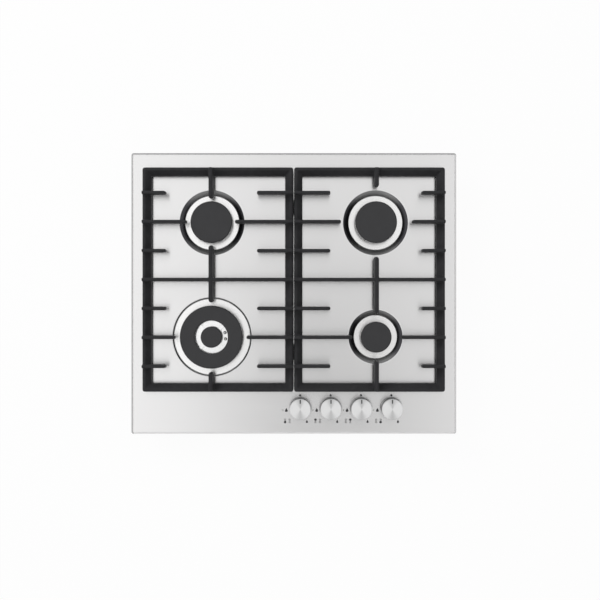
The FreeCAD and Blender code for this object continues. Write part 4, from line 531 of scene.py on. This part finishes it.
def knob_marks(name):
    """Off dot, large and small flame, spark and burner map: outlines, each with its hole or None."""
    x, y, _ = KNOBS[name]

    def at(place):
        return x + place[0], y + place[1]

    yield circle(*at(DOT_AT), DOT_RADIUS), None
    yield flame(*at(LARGE_FLAME_AT), *LARGE_FLAME), None
    yield flame(*at(SMALL_FLAME_AT), *SMALL_FLAME), None
    yield star(*at(SPARK_AT), SPARK_REACH, SPARK_NOTCH), None
    for other in BURNERS:
        across = MAP_STEP[0] if "right" in other else -MAP_STEP[0]
        along = MAP_STEP[1] if "rear" in other else -MAP_STEP[1]
        spot = at((MAP_AT[0] + across, MAP_AT[1] + along))
        if other == name:
            yield circle(*spot, OWN_SPOT), None
        else:
            yield circle(*spot, OTHER_SPOT), circle(*spot, OTHER_HOLE)


def make_marks():
    """The marks printed on the plate by its knobs."""
    shape = bmesh.new()
    for name in BURNERS:
        for outline, hole in knob_marks(name):
            add_slab(shape, PRINT_BASE, PRINT_TOP, outline, hole)
    make_piece("deck_marks", to_mesh(shape, "deck_marks"), "hob", "black_plastic")


POINTER_HALF = 1.0 * MM  # half a pointer's width, and the radius of its ends
POINTER_NEAR, POINTER_FAR = 9.9 * MM, 17.2 * MM  # its ends from the knob's middle
POINTER_DEPTH, POINTER_SUNK = 0.5 * MM, 0.12 * MM  # its foot and its top below the knob's


def make_pointers():
    """The dark inlay in each knob's groove."""
    for name in BURNERS:
        x, y, _ = KNOBS[name]
        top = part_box(f"knob_{name}")[1].z
        outline = arc(x, y + POINTER_FAR - POINTER_HALF, POINTER_HALF, 0, math.pi)
        outline += arc(x, y + POINTER_NEAR + POINTER_HALF, POINTER_HALF, math.pi, 2 * math.pi)
        shape = bmesh.new()
        add_slab(shape, top - POINTER_DEPTH, top - POINTER_SUNK, outline)
        mesh = to_mesh(shape, f"pointer_{name}")
        make_piece(f"pointer_{name}", mesh, f"{name}_knob", "black_plastic")


CAST_WELD = 0.01 * MM
CAST_VOXEL = 0.9 * MM
CAST_ROUNDS = 4  # of smoothing
CAST_KEPT = 0.35  # share of the faces


def make_castings():
    """The pan supports with the soft corners of sand castings, over their CAD solids."""
    for side in SIDES:
        node = f"pan_support_{side}"
        mesh = frame["nodes"][node].data.copy()
        mesh.name = f"casting_{side}"
        mesh.materials.clear()
        shape = bmesh.new()
        shape.from_mesh(mesh)
        bmesh.ops.remove_doubles(shape, verts=shape.verts, dist=CAST_WELD)
        shape.to_mesh(mesh)
        shape.free()
        casting = make_piece(f"casting_{side}", mesh, f"{side}_pan_support", "cast_iron", node)
        remesh = casting.modifiers.new("remesh", "REMESH")
        remesh.mode = "VOXEL"
        remesh.voxel_size = CAST_VOXEL
        remesh.use_smooth_shade = True
        soften = casting.modifiers.new("soften", "SMOOTH")
        soften.factor = 0.5
        soften.iterations = CAST_ROUNDS
        thin = casting.modifiers.new("thin", "DECIMATE")
        thin.ratio = CAST_KEPT
        bake_modifiers(casting)


def bake_modifiers(piece):
    """Leave the piece with its final mesh and no modifiers."""
    solved = piece.evaluated_get(bpy.context.evaluated_depsgraph_get())
    mesh = bpy.data.meshes.new_from_object(solved)
    mesh.name = piece.data.name + "_final"
    piece.modifiers.clear()
    piece.data = mesh
    for face in mesh.polygons:
        face.use_smooth = True


# ---------------------------------------------------------------- light and floor

ROOM_LIGHT = 0.6  # what the room gives a matt surface
DIM_SPOT = (0.026, -0.11, 1.0)  # a dim patch in the ceiling, as a direction
DIM_SPREAD = (0.1, 0.09, 1.0)
DIM_END = 1.6  # where the patch ends, in times its spread
DIM_LEVEL = 0.05
SIDES_MEET = (-0.16, 0.02)  # from where to where the ceiling goes from its left to its right level
LEFT_LEVEL, RIGHT_LEVEL = 1.14, 0.98
# the room's fall towards its side walls and its front and rear walls: start, end, level at the end
SIDE_WALLS = (0.5, 0.9, 0.85)
END_WALLS = (0.3, 0.8, 0.8)


def make_world():
    """A white studio: its ceiling has a dim patch above the front and is brighter on the left."""
    world = bpy.data.worlds.new("studio")
    bpy.context.scene.world = world
    world.use_nodes = True
    studio = Nodes(world.node_tree)
    heading = studio.node("ShaderNodeTexCoord").outputs["Generated"]
    offset = studio.vector("DIVIDE", studio.vector("SUBTRACT", heading, DIM_SPOT), DIM_SPREAD)
    room = studio.ramp(studio.vector("LENGTH", offset), 0.0, DIM_END, DIM_LEVEL, 1.0)
    x, y, _ = studio.split(heading)
    levels = [studio.ramp(x, *SIDES_MEET, LEFT_LEVEL, RIGHT_LEVEL, "LINEAR")]
    for part, (start, end, level) in ((x, SIDE_WALLS), (y, END_WALLS)):
        levels.append(studio.ramp(studio.math("ABSOLUTE", part), start, end, 1.0, level))
    for level in levels:
        room = studio.math("MULTIPLY", room, level)
    seen = studio.node("ShaderNodeLightPath").outputs["Is Camera Ray"]
    shown = studio.blend(seen, room, 1.0)
    glow = studio.blend(studio.seen_or_mirrored(), ROOM_LIGHT, shown)
    studio.feed(studio.tree.nodes["Background"].inputs["Color"], glow)


KEY_PLACE = Vector((-2.0, 1.8, 2.0))
KEY_SIZE = 1.4
KEY_POWER = 40


def make_key_light():
    """A soft lamp at the left rear, which shining surfaces don't mirror."""
    data = bpy.data.lights.new("key", "AREA")
    data.size = KEY_SIZE
    data.energy = KEY_POWER
    light = bpy.data.objects.new("key", data)
    light.location = KEY_PLACE
    light.visible_glossy = False
    light.rotation_euler = (-KEY_PLACE).to_track_quat("-Z", "Y").to_euler()
    bpy.context.scene.collection.objects.link(light)


FLOOR_HALF = 4.0
FLOOR_GLOW = 0.95  # share of the floor that glows for the camera and in mirrors


def make_floor():
    """A plain white floor, brightened for the camera, which keeps the object's shadow."""
    paint = Shader("floor_paint", (0.9, 0.9, 0.9), 0.9)
    glow = paint.node("ShaderNodeEmission", Strength=1.0).outputs[0]
    share = paint.math("MULTIPLY", paint.seen_or_mirrored(), FLOOR_GLOW)
    blend = paint.node("ShaderNodeMixShader", _0=share, _1=paint.surface.outputs[0], _2=glow)
    paint.feed(paint.tree.nodes["Material Output"].inputs["Surface"], blend.outputs[0])
    mesh = bpy.data.meshes.new("floor")
    corners = [(-1, -1), (1, -1), (1, 1), (-1, 1)]
    mesh.from_pydata([(FLOOR_HALF * x, FLOOR_HALF * y, 0) for x, y in corners], [], [(0, 1, 2, 3)])
    mesh.materials.append(paint.material)
    floor = bpy.data.objects.new("floor", mesh)
    bpy.context.scene.collection.objects.link(floor)


dress_frame()
make_marks()
make_pointers()
make_castings()
make_camera()
make_world()
make_key_light()
make_floor()
bpy.context.scene.view_settings.view_transform = "Standard"
